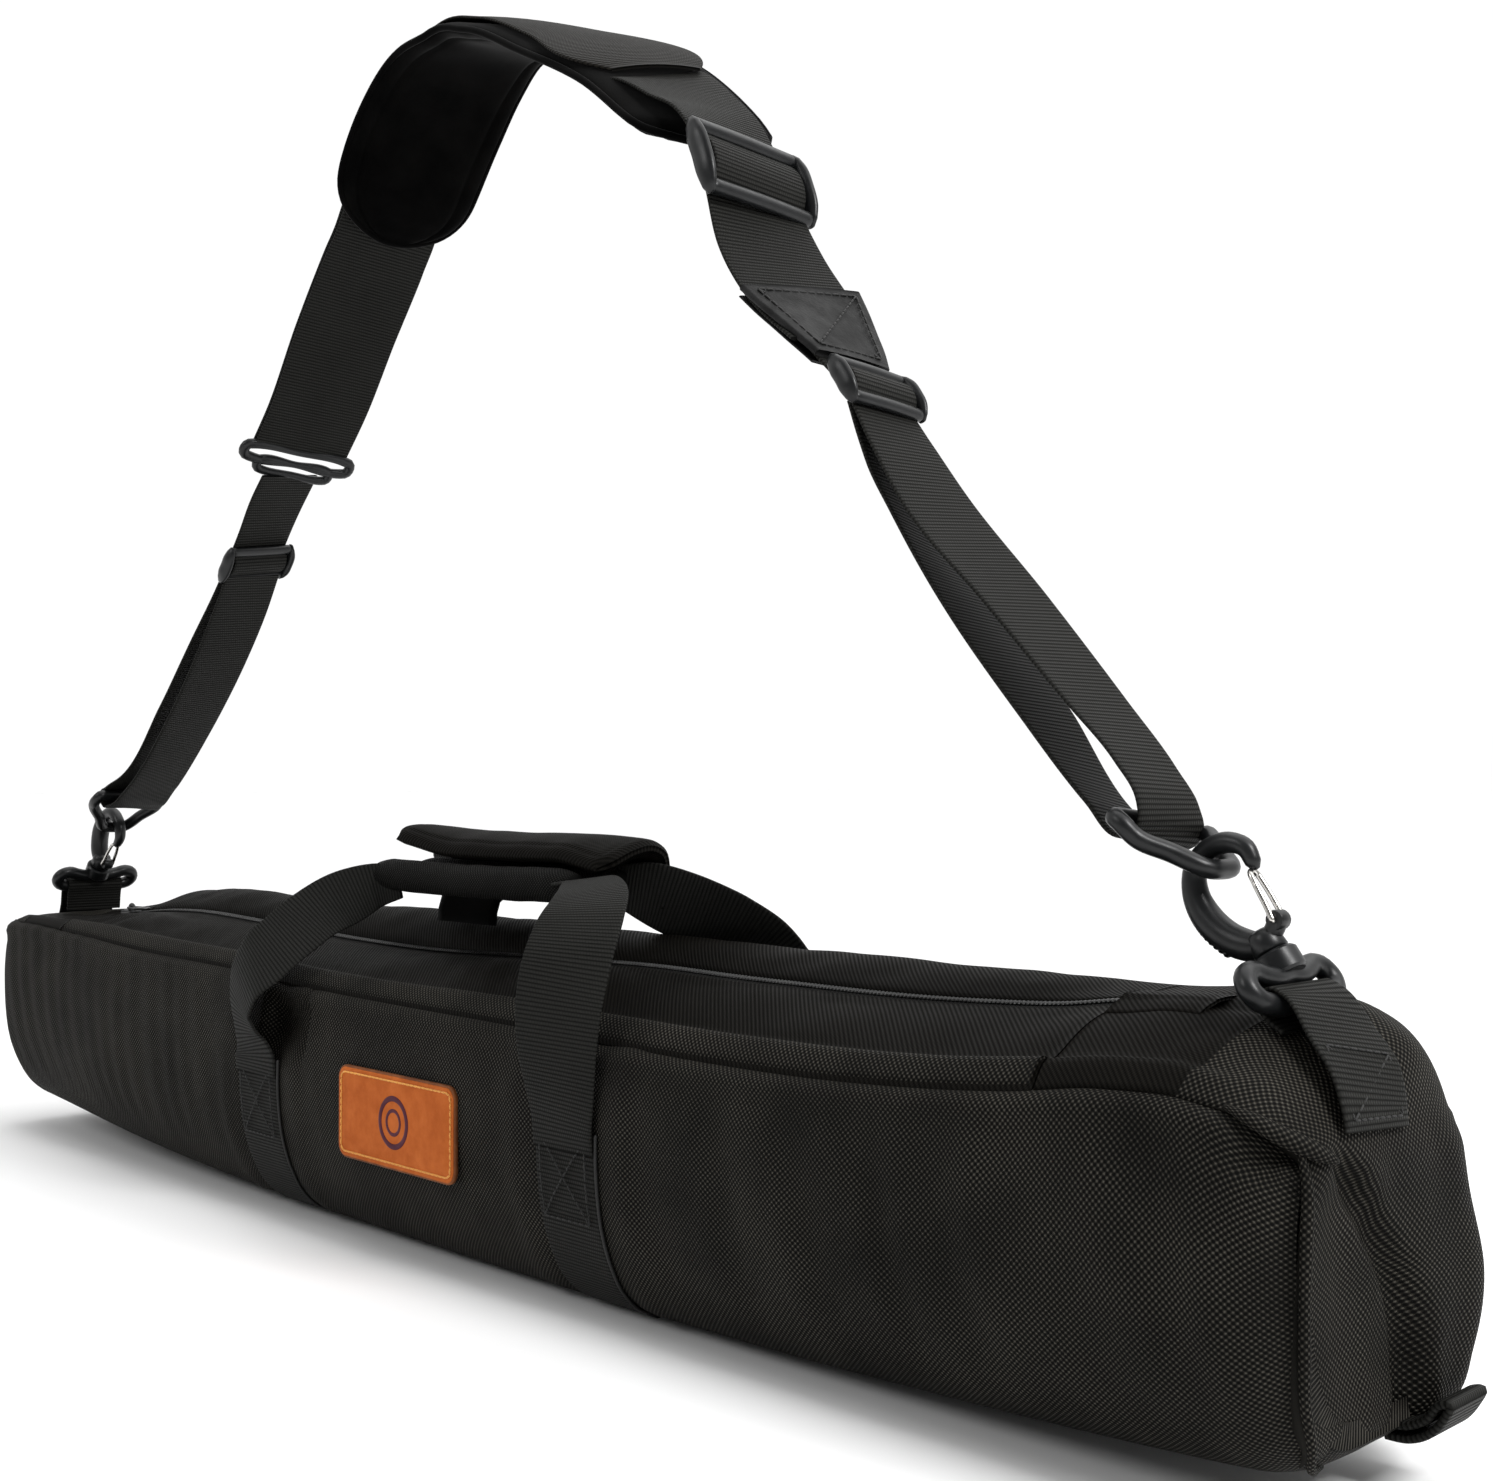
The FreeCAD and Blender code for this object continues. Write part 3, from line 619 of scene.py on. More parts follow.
def skin(x, k, side, detail=True, depth=0.0):
    """Point k of the side line at x, from the middle of the belly to the seam."""
    y, z = HALF[k]
    ny, nz = outward(HALF, k)
    knee = 55.0
    top = seam_height(x, side)
    height = z if z < knee else knee + (z - knee) * (top - knee) / (SEAM_Z - knee)
    height += belly_lift(x) * max(0.0, 1 - z / SEAM_Z)
    narrow = 0.10 * ramp(-x, 270, 440) * (1.25 - z / SEAM_Z)
    width = y * (1 - narrow)
    inset = corner_inset(x)
    width *= 1 - inset / TURN_WIDTH
    height += inset * 0.55 * max(0.0, 1 - z / 55.0)
    out = -depth
    if detail:
        out += ripples(x, z, side) * flattened(x, z) * ramp(CASE_HALF - abs(x), 0, 30)
        lip = LIP_KNOTS[k]
        out += 2.3 * bump(lip, 7.0, 6.5) - 3.0 * ramp(3.4 - lip, 0, 3.4)
        for middle in BAND_X.values():
            out -= 1.1 * ramp(24 - abs(x - middle), 0, 8) - 0.9 * bump(abs(x - middle), 33, 11)
        if side == FRONT:
            hollow = ramp(x, -112, -98) * ramp(-64 - x, 0, 6) * bump(z, 98, 24)
            out -= 8.0 * hollow + 9.0 * bump(x, 447, 14) * bump(height, 112, 10)
    if z < 6:
        out = min(out, 0.0)
    return Vector((x, side * (width + ny * out), max(0.0, height + nz * out)))


X_STEP = 3.5
WALL = 8.0                     # cloth and foam together
ROW_X = [-CASE_HALF + 2 * CASE_HALF * i / 260 for i in range(261)]


def trough_rows(detail, depth, xs):
    rows = []
    for x in xs:
        front = [skin(x, k, FRONT, detail, depth) for k in range(len(HALF) - 1, 0, -1)]
        rear = [skin(x, k, REAR, detail, depth) for k in range(len(HALF))]
        rows.append(front + rear)
    return rows


def build_trough():
    outer = trough_rows(True, 0.0, ROW_X)
    inner = trough_rows(False, WALL, ROW_X)
    shell = make("padded_shell", [plate(outer, inner)], SHELL, "root",
                 ("front_panel", "base_panel", "rear_panel", "front_foam", "base_foam", "rear_foam"))
    inside = [x for x in ROW_X if abs(x) < CASE_HALF - WALL]
    lining = [plate(trough_rows(False, WALL + 0.2, inside), trough_rows(False, WALL + 1.0, inside))]
    make("lining", lining, LINING, "root", ("inner_lining",))


# ---- the case: top surface --------------------------------------------------
LID_X = 366.0
ZIP_Y = -3.0
zip_height = profile([(-455, 130), (-420, 132.8), (-384, 134.3), (-335, 138.5), (-300, 140),
                      (-200, 137.5), (-120, 134.5), (-60, 133.5), (40, 136), (110, 137.5), (200, 136.8),
                      (300, 138), (340, 140.5), (366, 144), (400, 146), (424, 144), (440, 139), (455, 122)])
crest_height = profile([(-455, 129), (-430, 134.5), (-400, 139), (-372, 144), (-350, 149.3), (-325, 151.5),
                        (-200, 151), (0, 149.5), (150, 147.8), (300, 147), (366, 147.5), (410, 149.5),
                        (431, 148.5), (445, 144), (455, 136)])
CREST_Y = 27.0


def zip_line(x):
    """Middle of the closed zip."""
    return Vector((x, ZIP_Y + 1.2 * noise.noise(Vector((x / 60, 0.5, 0.5))), zip_height(x)))


def seam_line(x, side):
    """Where the top meets the seam: y and z at x."""
    return side * SEAM_Y * (1 - corner_inset(x) / TURN_WIDTH), seam_height(x, side)


def front_top(x, t):
    """Front half of the top, t from the seam at 0 to the zip at 1."""
    seam_y, seam_z = seam_line(x, FRONT)
    zipper = zip_line(x)
    edge = zipper.y - 3.6
    y = seam_y + (edge - seam_y) * t
    z = seam_z + (zipper.z - 0.6 - seam_z) * (1 - (1 - t) ** 1.75)
    run = t * (edge - seam_y)
    z += 2.6 * bump(run, 6.5, 6.0) - 1.6 * ramp(2.8 - run, 0, 2.8)
    puckers = noise.noise(Vector(((x + 0.7 * y) / 17, y / 60, 1.5)))
    folds = noise.noise(Vector(((x - 0.5 * y) / 42, y / 45, 7.5)))
    fan_x, fan_y = x + 338, y + 6
    reach = math.hypot(fan_x, fan_y)
    fan = math.sin(11 * math.atan2(fan_y, fan_x)) * bump(reach, 48, 40)
    z += (0.9 * puckers + 1.7 * folds + 1.1 * fan) * ramp(run, 6, 18) * ramp(1 - t, 0, 0.22)
    return Vector((x, y, z))


def rear_top(x, t):
    """Rear half of the top, t from the zip at 0 over the crest to the rear seam at 1."""
    zipper = zip_line(x)
    start = zipper.y + 3.0
    seam_y, seam_z = seam_line(x, REAR)
    y = start + (seam_y - start) * t
    rise = crest_height(x)
    middle = (CREST_Y - start) / (seam_y - start)
    if t < middle:
        s = t / middle
        z = zipper.z + 1.4 + (rise - zipper.z - 1.4) * math.sin(s * math.pi / 2) ** 0.8
    else:
        s = (t - middle) / (1 - middle)
        z = rise - (rise - seam_z) * (1 - math.cos(s * math.pi / 2) ** 0.9)
    run = (1 - t) * (seam_y - start)
    z += 1.4 * bump(run, 6.0, 6.0)
    puckers = noise.noise(Vector(((x - 0.5 * y) / 19, y / 60, 11.5)))
    folds = noise.noise(Vector(((x + 0.4 * y) / 50, y / 50, 17.5)))
    z += (0.7 * puckers + 1.5 * folds) * ramp(run, 3, 14) * ramp(t, 0.02, 0.2)
    return Vector((x, y, z))


def lid_rows(shape, count):
    steps = round(2 * LID_X / X_STEP)
    xs = [-LID_X + 2 * LID_X * i / steps for i in range(steps + 1)]
    return [[shape(x, j / count) for j in range(count + 1)] for x in xs]


def hinge(piece):
    """Bake the piece's placement into its points."""
    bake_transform(piece)


def build_lids():
    padding = 5.0
    for name, shape, side, count in (("front", front_top, FRONT, 26), ("rear", rear_top, REAR, 30)):
        rows = lid_rows(shape, count)
        inner = [[p - Vector((0, 0, padding * min(1.0, 0.25 + 3.0 * min(j, count - j) / count)))
                  for j, p in enumerate(row)] for row in rows]
        lid = make(f"{name}_top", [plate(rows, inner)], TOP, None,
                   (f"{name}_top_panel", f"{name}_top_foam"))
        hinge(lid)


def build_hems():
    """Strip of the coarse cloth folded over beside each long seam of the top."""
    for name, shape, side in (("front", front_top, FRONT), ("rear", rear_top, REAR)):
        width = SEAM_Y - abs(ZIP_Y)
        rows = []
        for x in [-LID_X + 1.5 + (2 * LID_X - 3) * i / 200 for i in range(201)]:
            row = []
            for run in (0.4, 2.0, 3.6, 5.2, 6.8, 8.4, 10.0, 11.2):
                t = run / width
                edge = 0.15 if 1 < run < 11 else -0.5
                row.append(shape(x, t if side == FRONT else 1 - t) + Vector((0, side * edge, 0.7 + edge)))
            rows.append(row)
        hem = make(f"{name}_hem", [sheet(rows, 0.9, -side)], SHELL)
        hinge(hem)


# ---- zip ---------------------------------------------------------------------
TOOTH_PITCH = 1.9
SLIDER_X = -384.0


def tooth(centre, side):
    """One coil turn as a flattened drop across the tape's edge."""
    points = []
    rings, around = ((-1.0, 0.0), (-0.6, 0.85), (0.35, 1.0), (1.0, 0.0)), 6
    for a, r in rings:
        for k in range(around):
            angle = 2 * math.pi * k / around
            points.append(centre + Vector((0.62 * r * math.cos(angle), side * a * 1.7,
                                           0.95 * r * math.sin(angle))))
    return ringed(points, len(rings), around, lambda k, i: (k % around, i), caps=False)


def coil(x0, x1, side):
    count = int((x1 - x0) / TOOTH_PITCH)
    shift = 0.5 if side == REAR else 0.0
    shapes = []
    for i in range(count):
        x = x0 + (i + 0.25 + shift) * (x1 - x0) / count
        shapes.append(tooth(zip_line(x) + Vector((0, side * 1.5, 0.4)), side))
    return shapes


def tape(side):
    """Zip tape from under the cloth to the coil."""
    rows = []
    steps = round(2 * LID_X / 4)
    section = ((0.6, -0.3), (2.6, -0.2), (5.0, -1.0), (9.0, -2.0))
    for i in range(steps + 1):
        middle = zip_line(-LID_X + 2 * LID_X * i / steps)
        rows.append([middle + Vector((0, side * y, z)) for y, z in section])
    return sheet(rows, 0.7, side)


def build_slider():
    """Slider body and its pull, at the far end of the closed zip."""
    pin_z = 138.2

    def at(x, y, z):
        return Vector((SLIDER_X + x, ZIP_Y + y, z))
    top = rod([at(-6.5, 0, 135.9), at(-2, 0, 136.1), at(6.0, 0, 135.8)], 4.7, sides=18, flat=0.2)
    foot = rod([at(-6.0, 0, 133.0), at(0, 0, 133.0), at(6.0, 0, 133.0)], 4.4, sides=18, flat=0.2)
    arch = rod([at(-4.2, 0, 136.3), at(-3.2, 0, 138.6), at(-0.5, 0, 139.8), at(2.6, 0, 139.0),
                at(4.6, 0, 136.4)], 1.3, sides=12, flat=0.6, up=(0, 1, 0), step=0.8)
    cheeks = [rod([at(-5.0, y, 134.5), at(5.0, y, 134.5)], 1.5, sides=10, flat=0.4, up=(0, 1, 0))
              for y in (-4.2, 4.2)]
    make("slider_body", [top, foot, arch] + cheeks, ZIP_METAL, "zip_slider", ("zip_slider",))
    outline = [(0.0, -2.2), (3.5, -3.4), (9.0, -4.0), (14.6, -3.9), (16.4, 0.0), (14.6, 3.9), (9.0, 4.0),
               (3.5, 3.4), (0.0, 2.2)]
    ring = rod([at(x, y, pin_z) for x, y in outline], 1.05, closed=True, sides=10, flat=0.75, step=0.8)
    blade = rod([at(9.4, 0, pin_z), at(12.0, 0, pin_z), at(14.8, 0, pin_z)], 3.6, sides=16, flat=0.2)
    make("slider_pull", [ring, blade], ZIP_METAL, "zip_pull", ("zip_pull",))


def build_zip():
    for name, side in (("front", FRONT), ("rear", REAR)):
        body = f"{name}_lid"
        make(f"{name}_coil", coil(-LID_X, LID_X, side), COIL, body, (f"{name}_zip_coil",))
        make(f"{name}_tape", [tape(side)], TAPE, body, (f"{name}_zip_tape",))
    ends = []
    for side in (FRONT, REAR):
        ends += coil(LID_X, LID_X + 30, side) + coil(-LID_X - 30, -LID_X, side)
    make("zip_ends", ends, COIL, "root", ("zip_end_coils",))
    build_slider()


# ---- ends -----------------------------------------------------------------
NEAR_NET = [
    [(437, -54.8, 122.5), (437, -45, 129), (438, -25, 134), (439, -3, 140), (439, 25, 145),
     (438, 46, 139), (436, 57, 124)],
    [(447, -50.5, 118), (448, -43, 121), (449, -25, 125), (451, -3, 130), (452, 25, 135.5),
     (449, 46, 126), (445, 56, 115)],
    [(454, -46.5, 111), (456, -40, 112), (456, -25, 113.5), (456, -3, 117), (456, 25, 120),
     (454, 46, 113), (450, 57, 104)],
    [(455.5, -50, 88), (455, -40, 90), (455, -22, 91), (456, 0, 92), (459, 25, 93), (458.5, 44, 90),
     (450, 59, 86)],
    [(455.5, -51.5, 66), (454, -40, 66), (454, -18, 66), (457, 5, 66), (461.5, 28, 67), (463, 44, 65),
     (454, 59, 63)],
    [(455, -49.5, 42), (454, -38, 42), (454, -14, 42), (456, 8, 42), (459, 28, 42), (460, 42, 40),
     (452, 55, 38)],
    [(454, -43, 25), (454, -32, 24), (454, -12, 23), (455, 8, 23), (456, 28, 24), (455, 42, 25),
     (450, 50, 28)],
    [(447, -36, 18), (448, -26, 17), (448, -10, 16.5), (448, 8, 16.5), (448, 28, 17), (447, 38, 18),
     (444, 44, 21)],
]
FAR_NET = [
    [(-445, -50.5, 130), (-445, -42, 131), (-446, -25, 132), (-446, -3, 132), (-446, 25, 131),
     (-445, 42, 129), (-444, 51, 125)],
    [(-455, -44, 126), (-456, -36, 125), (-457, -22, 125), (-458, 0, 124), (-457, 22, 123),
     (-456, 38, 121), (-454, 45, 117)],
    [(-456, -47, 96), (-459, -36, 96), (-461, -20, 96), (-462, 0, 96), (-461, 20, 96), (-459, 36, 96),
     (-455, 47, 94)],
    [(-456, -45.5, 66), (-459, -34, 66), (-461, -18, 66), (-462, 0, 66), (-461, 18, 66),
     (-459, 34, 66), (-455, 46, 66)],
    [(-454, -40, 40), (-457, -30, 40), (-459, -16, 40), (-459, 0, 40), (-459, 16, 40), (-457, 30, 40),
     (-454, 41, 40)],
    [(-447, -32, 23), (-450, -24, 22), (-451, -14, 22), (-451, 0, 22), (-451, 14, 22), (-450, 24, 22),
     (-447, 33, 23)],
]
crease_y = profile([(15, 13), (24, 14), (38, 15), (62, 9), (90, -10), (113, -30), (125, -42)])
GUSSET_X = 420.0               # the fine top cloth ends here, the coarse cloth goes on
END_THICK = 4.0


def end_rows(sign, net, across, down):
    """Sheet over one end: the top's own section first, then down the end's control rows."""
    columns = []
    for i in range(9):
        x = sign * (LID_X + 0.8 + 7.2 * i)
        front = [front_top(x, j / 20) for j in range(21)]
        rear = [rear_top(x, j / 24) for j in range(1, 25)]
        columns.append(resampled([tuple(p) for p in front + rear], across))
    columns += [resampled(row, across) for row in net]
    lines = [resampled([row[j] for row in columns], down) for j in range(across)]
    return [[Vector(lines[j][i]) for j in range(across)] for i in range(down)]


def cover(end, rows, flip):
    """One end's sheet as two pieces: the fine top cloth, then the coarse cloth."""
    split = next(i for i, row in enumerate(rows) if abs(row[10].x) > GUSSET_X)
    top = make(f"{end}_top_cover", [sheet(rows[:split + 1], END_THICK, flip)], TOP, "root",
               (f"{end}_top_gusset",))
    below = make(f"{end}_end_cover", [sheet(rows[split:], END_THICK, flip)], SHELL, "root",
                 (f"{end}_end_panel", f"{end}_end_foam"))


def build_ends():
    rows = end_rows(1, NEAR_NET, 53, 100)
    for row in rows:
        for p in row:
            on_end = ramp(p.x, 449, 455) * ramp(116 - p.z, 0, 14)
            off = (p.y - crease_y(p.z)) * 0.8
            p.x += on_end * (3.0 * ramp(off, -1, 7) - 4.6 * bump(off, -3, 7)) * ramp(56 - abs(p.y), 0, 12)
            folds = noise.noise(Vector((p.y / 15, p.z / 34, 21.0)))
            p.x += 1.3 * folds * on_end * ramp(50 - abs(p.y), 0, 12)
            soft = noise.noise(Vector((p.x / 16, p.y / 22, 23.0)))
            p.z += 1.5 * soft * (1 - on_end) * ramp(52 - abs(p.y), 0, 14) * ramp(p.x, 400, 430)
    cover("near", rows, 1)
    rows = end_rows(-1, FAR_NET, 49, 90)
    for row in rows:
        for p in row:
            soft = noise.noise(Vector((p.x / 30, p.y / 18, p.z / 30 + 31.0)))
            inside = ramp(44 - abs(p.y), 0, 14) * ramp(-400 - p.x, 0, 20)
            p.z += 1.3 * soft * inside * ramp(p.z, 90, 120)
            p.x -= 1.8 * soft * inside * ramp(118 - p.z, 0, 20)
    cover("far", rows, -1)

    edge = [(454, -47, 113), (457, -48.5, 104), (457.5, -50, 88), (457.5, -51, 72), (457, -50.5, 56),
            (456, -48.5, 42), (455, -43, 27), (451, -36.5, 18.5), (447, -24, 15.5)]
    ridge = rod([(*p, w) for p, w in zip(edge, (0.6, 1.0, 1.15, 1.0, 1.1, 1.0, 0.9, 0.8, 0.6))], 1.7,
                step=3.0)
    fold_line = [(436, -56.5, 124, 0.35), (443, -55.5, 121.5, 0.8), (450, -50.5, 117, 1.1),
                 (456, -43, 112.5, 1.1), (459, -37, 109.5, 0.6)]
    fold = rod(fold_line, 3.2, flat=0.75, up=(0.3, -0.3, 0.9), step=1.5, sides=16)
    make("near_end_folds", [ridge, fold], SHELL, "root")

    far_front = [(-452, -49, 128), (-456, -46, 118), (-457.5, -47, 96), (-457.5, -45.5, 68),
                 (-455, -41, 42), (-449, -33, 24)]
    far_rear = [(x, -y + 1, z - 2) for x, y, z in far_front]
    make("end_seams", [rod(line, 1.5, step=4.0) for line in (far_front, far_rear)], SHELL,
         "root")


def build_seams():
    """The two top corner seams: a cord in the groove between the lips, and a tape behind it."""
    cords = []
    for side in (FRONT, REAR):
        xs = [-440 + 880 * i / 60 for i in range(61)]
        line = []
        for x in xs:
            top = skin(x, len(HALF) - 1, side)
            line.append((x, top.y * 0.97, top.z - 0.9))
        cords.append(rod(line, 1.0, sides=8, step=6.0))
        rows = []
        for x in [-LID_X + 2 * LID_X * i / 60 for i in range(61)]:
            lip, inside = skin(x, len(HALF) - 1, side), skin(x, len(HALF) - 1, side, False, 7.5)
            edge = front_top(x, 0.0) if side == FRONT else rear_top(x, 1.0)
            rows.append([Vector((x, inside.y, inside.z - 1.5)), Vector((x, lip.y * 0.985, lip.z + 0.1)),
                         Vector((x, edge.y, edge.z - 0.3))])
        cords.append(sheet(rows, 0.9, side))
    make("seam_cords", cords, BLACK_THREAD, "root", ("seam_piping",))


HOOD_LENGTH, HOOD_HALF = 36.0, 15.0


def build_garage():
    """Cloth hood that the zip runs into, by the near end."""
    rows = []
    for i in range(15):
        x = LID_X + 0.5 + HOOD_LENGTH * i / 14
        lift = math.sin(math.pi * min(1.0, (i + 2) / 9) / 2)
        row = []
        for j in range(17):
            t = -1 + 2 * j / 16
            y = ZIP_Y + HOOD_HALF * t
            if y < ZIP_Y - 4:
                base = front_top(x, 1 - (ZIP_Y - y) / (SEAM_Y + ZIP_Y)).z
            else:
                base = zip_height(x) + 0.05 * (y - ZIP_Y)
            row.append(Vector((x, y, base + 0.8 + 2.6 * (1 - t * t) * (1.2 - 0.5 * lift))))
        rows.append(row)
    make("zip_garage_hood", [sheet(rows, 1.2, 1)], TOP, "root", ("zip_garage",))


# ---- bands, badge ------------------------------------------------------------
WEB = 1.6
NARROW = 38.0
BOX_TOP_Z = 80.0


def band_line(x, lift=0.0):
    """Webbing line round the belly at x, front to rear."""
    line = []
    for side in (FRONT, REAR):
        part = []
        for k, (y, z) in enumerate(HALF):
            if z <= BOX_TOP_Z and y > 2:
                p = skin(x, k, side, detail=False, depth=0.2 - lift)
                part.append((p.x, p.y, p.z if p.z > 1.2 else 0.9, 1.0, 0.0, 0.0, 1.0))
        line += part[::-1] if side == FRONT else part
    return line


BOX_AND_CROSS = ((0, 1), (1, 2), (2, 3), (3, 0), (0, 2), (1, 3))      # lines between four corners


def stitch_run(start, end, out, length=2.4, gap=1.3, radius=0.36):
    """Stitches from one point to the other, just proud of the cloth."""
    a, b = Vector(start), Vector(end)
    count = max(1, round((b - a).length / (length + gap)))
    lift = Vector(out) * radius * 0.5
    shapes = []
    for i in range(count):
        p = a.lerp(b, (i + 0.18) / count) + lift
        q = a.lerp(b, (i + 0.82) / count) + lift
        shapes.append(rod([p, (p + q) / 2 + lift * 0.7, q], radius, sides=6, step=1.2))
    return shapes


def band_surface(x, z, side):
    """Point on a band's outside at a height."""
    heights = [(abs(h - z), k) for k, (_, h) in enumerate(HALF)]
    k = min(heights)[1]
    p = skin(x, k, side, detail=False, depth=-1.5)
    other = min(len(HALF) - 1, k + 1) if HALF[k][1] < z else max(1, k - 1)
    q = skin(x, other, side, detail=False, depth=-1.5)
    t = 0.0 if abs(q.z - p.z) < 1e-6 else min(1.0, max(0.0, (z - p.z) / (q.z - p.z)))
    return p.lerp(q, t)


def build_bands():
    for end, x in BAND_X.items():
        make(f"{end}_band", [web(band_line(x), NARROW, WEB, 3.0)], WEBBING, "root",
             (f"belly_band_{end}",))
    # dark cord beside each band's edge: thin piping, and a painted shadow line for the gap along the band
    piping_and_shadow = []
    for x in BAND_X.values():
        line = [(p[0] + NARROW / 2 + 1.0, p[1], p[2]) for p in band_line(x, 0.6)]
        piping_and_shadow.append(rod([(x, y, max(z, 0.9)) for x, y, z in line], 0.75, sides=8, step=5.0))
    make("band_piping_and_shadow", piping_and_shadow, BLACK_THREAD, "root")
    stitches = []
    low, high, half = 42.0, 76.0, 14.5
    for x in BAND_X.values():
        for side in (FRONT, REAR):
            corner = {(i, j): band_surface(x + i * half, (low, high)[j], side) for i in (-1, 1)
                      for j in (0, 1)}
            out = (0, side, 0)
            for p, q in (((-1, 0), (1, 0)), ((-1, 1), (1, 1))):
                stitches += stitch_run(corner[p], corner[q], out)
            for i in (-1, 1):
                for turn in (0, 2):        # an upright side of the box, then a diagonal
                    line = [band_surface(x + i * half * (1 - turn * n / 4), low + (high - low) * n / 4, side)
                            for n in range(5)]
                    for a, b in zip(line, line[1:]):
                        stitches += stitch_run(a, b, out)
    make("box_stitches", stitches, BLACK_THREAD, "root", ("box_stitching",))


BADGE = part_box("badge")
BADGE_R = 6.5


def rounded_outline(x0, x1, z0, z1, radius):
    points, count = [], 8
    for cx, cz, start in ((x1 - radius, z1 - radius, 0), (x0 + radius, z1 - radius, 90),
                          (x0 + radius, z0 + radius, 180), (x1 - radius, z0 + radius, 270)):
        for i in range(count + 1):
            a = math.radians(start + 90 * i / count)
            points.append((cx + radius * math.cos(a), cz + radius * math.sin(a)))
    return points


def badge_ring(inset, y):
    x0, z0, x1, z1 = BADGE[0][0] / MM, BADGE[0][2] / MM, BADGE[1][0] / MM, BADGE[1][2] / MM
    outline = rounded_outline(x0 + inset, x1 - inset, z0 + inset, z1 - inset, max(0.6, BADGE_R - inset))
    return [Vector((x, y, z)) for x, z in outline]


def rings_shape(rings, fill=True):
    """Loft of closed rings with the same number of points."""
    count = len(rings[0])

    def texture(k, i):
        p = rings[i][k % count]
        return p.x, p.z
    return ringed([p for ring in rings for p in ring], len(rings), count, texture, caps=fill)


def build_badge():
    back, face = BADGE[1][1] / MM + 0.4, BADGE[0][1] / MM          # rear and front in y
    front = [badge_ring(0.7, face + 0.05), badge_ring(1.6, face - 0.25), badge_ring(2.6, face - 0.05),
             badge_ring(3.6, face - 0.05), badge_ring(5.0, face - 0.3), badge_ring(10.0, face - 0.45)]
    make("badge_face", [rings_shape(front)], TAN, "root", ("badge",))
    rim = [badge_ring(0.8, back), badge_ring(0.0, back - 0.2), badge_ring(0.0, face + 0.5),
           badge_ring(0.3, face + 0.15), badge_ring(0.8, face)]
    make("badge_rim", [rings_shape(rim, fill=False)], TAN_EDGE, "root")
    line = badge_ring(3.1, face - 0.1)
    stitches = []
    ring = line + [line[0]]
    knots = knots_of(ring)
    pitch = knots[-1] / round(knots[-1] / 3.1)
    at = 0.0
    while at < knots[-1] - 0.1:
        ends = []
        for s in (at, at + pitch * 0.66):
            s = s % knots[-1]
            i = min(len(ring) - 2, bisect.bisect_right(knots, s) - 1)
            ends.append(ring[i].lerp(ring[i + 1], (s - knots[i]) / (knots[i + 1] - knots[i])))
        top = (ends[0] + ends[1]) / 2 + Vector((0, -0.25, 0))
        stitches.append(rod([ends[0], top, ends[1]], 0.5, sides=6, step=1.0))
        at += pitch
    make("badge_stitches", stitches, TAN_THREAD, "root")
    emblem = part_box("badge_emblem")
    cx, cz = (emblem[0][0] + emblem[1][0]) / 2 / MM, (emblem[0][2] + emblem[1][2]) / 2 / MM
    shapes = []
    for radius, wide in ((10.8, 1.3), (5.4, 0.9)):
        circle = [(cx + radius * math.cos(a), face - 0.42, cz + radius * math.sin(a))
                  for a in [2 * math.pi * k / 24 for k in range(24)]]
        shapes.append(rod(circle, wide, closed=True, sides=8, flat=0.35, up=(0, 1, 0), step=1.4))
    make("badge_ring", shapes, INK, "root", ("badge_emblem",))


# ---- handles -----------------------------------------------------------------
GRIP_X0, GRIP_X1 = -79.0, 76.0
ROLL_Y, ROLL_Z, ROLL_R = 13.0, 171.5, 9.0

# (x, distance from the middle plane, z, width direction x, out, up, width share)
FRONT_NEAR_LEG = [(138.5, 66.6, 70, 1, 0, 0, 1), (138.5, 67.4, 80, 1, 0, 0, 1),
                  (139.5, 69.5, 93, 1, -0.12, 0, 1), (141.5, 72.5, 111, 1, -0.32, 0, 1),
                  (143, 72.5, 129, 1, -0.5, 0.02, 1), (143, 68, 147, 1, -0.65, 0.05, 1),
                  (137, 57, 161, 1, -0.8, 0.1, 0.97), (124, 41, 170.5, 0.85, -0.9, 0.15, 0.85),
                  (106, 27, 174.5, 0.55, -1, 0.2, 0.68), (90, 17, 174.5, 0.25, -1, 0.1, 0.55),
                  (72, 13, 172, 0.1, -1, 0, 0.42)]
FRONT_FAR_LEG = [(-109.5, 66.6, 72, 1, 0, 0, 1), (-109.5, 67.6, 82, 1, 0, 0, 1),
                 (-112, 71, 94, 1, 0.22, 0, 1), (-112, 74.5, 107, 1, 0.3, 0.02, 1),
                 (-105, 75.5, 120, 1, 0.1, -0.1, 1), (-97, 69, 132, 1, -0.25, -0.2, 1),
                 (-91, 58, 143, 1, -0.3, -0.3, 1), (-87, 45, 153, 0.9, -0.3, -0.5, 0.92),
                 (-83, 31, 160, 0.6, -0.3, -0.8, 0.78), (-77, 20, 165, 0.3, -0.2, -1, 0.62),
                 (-62, 14, 168, 0, -0.1, -1, 0.46)]
REAR_NEAR_LEG = [(138.5, 66.6, 70, 1, 0, 0, 1), (138.5, 67.6, 80, 1, 0, 0, 1),
                 (138.5, 69, 98, 1, 0, 0, 1), (137.5, 69, 116, 1, 0, 0, 1),
                 (134, 66, 131, 1, 0.05, 0.15, 1), (127, 58, 143.5, 0.9, 0.1, 0.35, 1),
                 (117, 47, 152.5, 0.8, 0.1, 0.5, 1), (104, 34, 160, 0.65, 0.1, 0.65, 0.95),
                 (91, 23, 166.5, 0.5, 0.1, 0.8, 0.8), (70, 14, 171.5, 0.2, 0.1, 1, 0.42)]
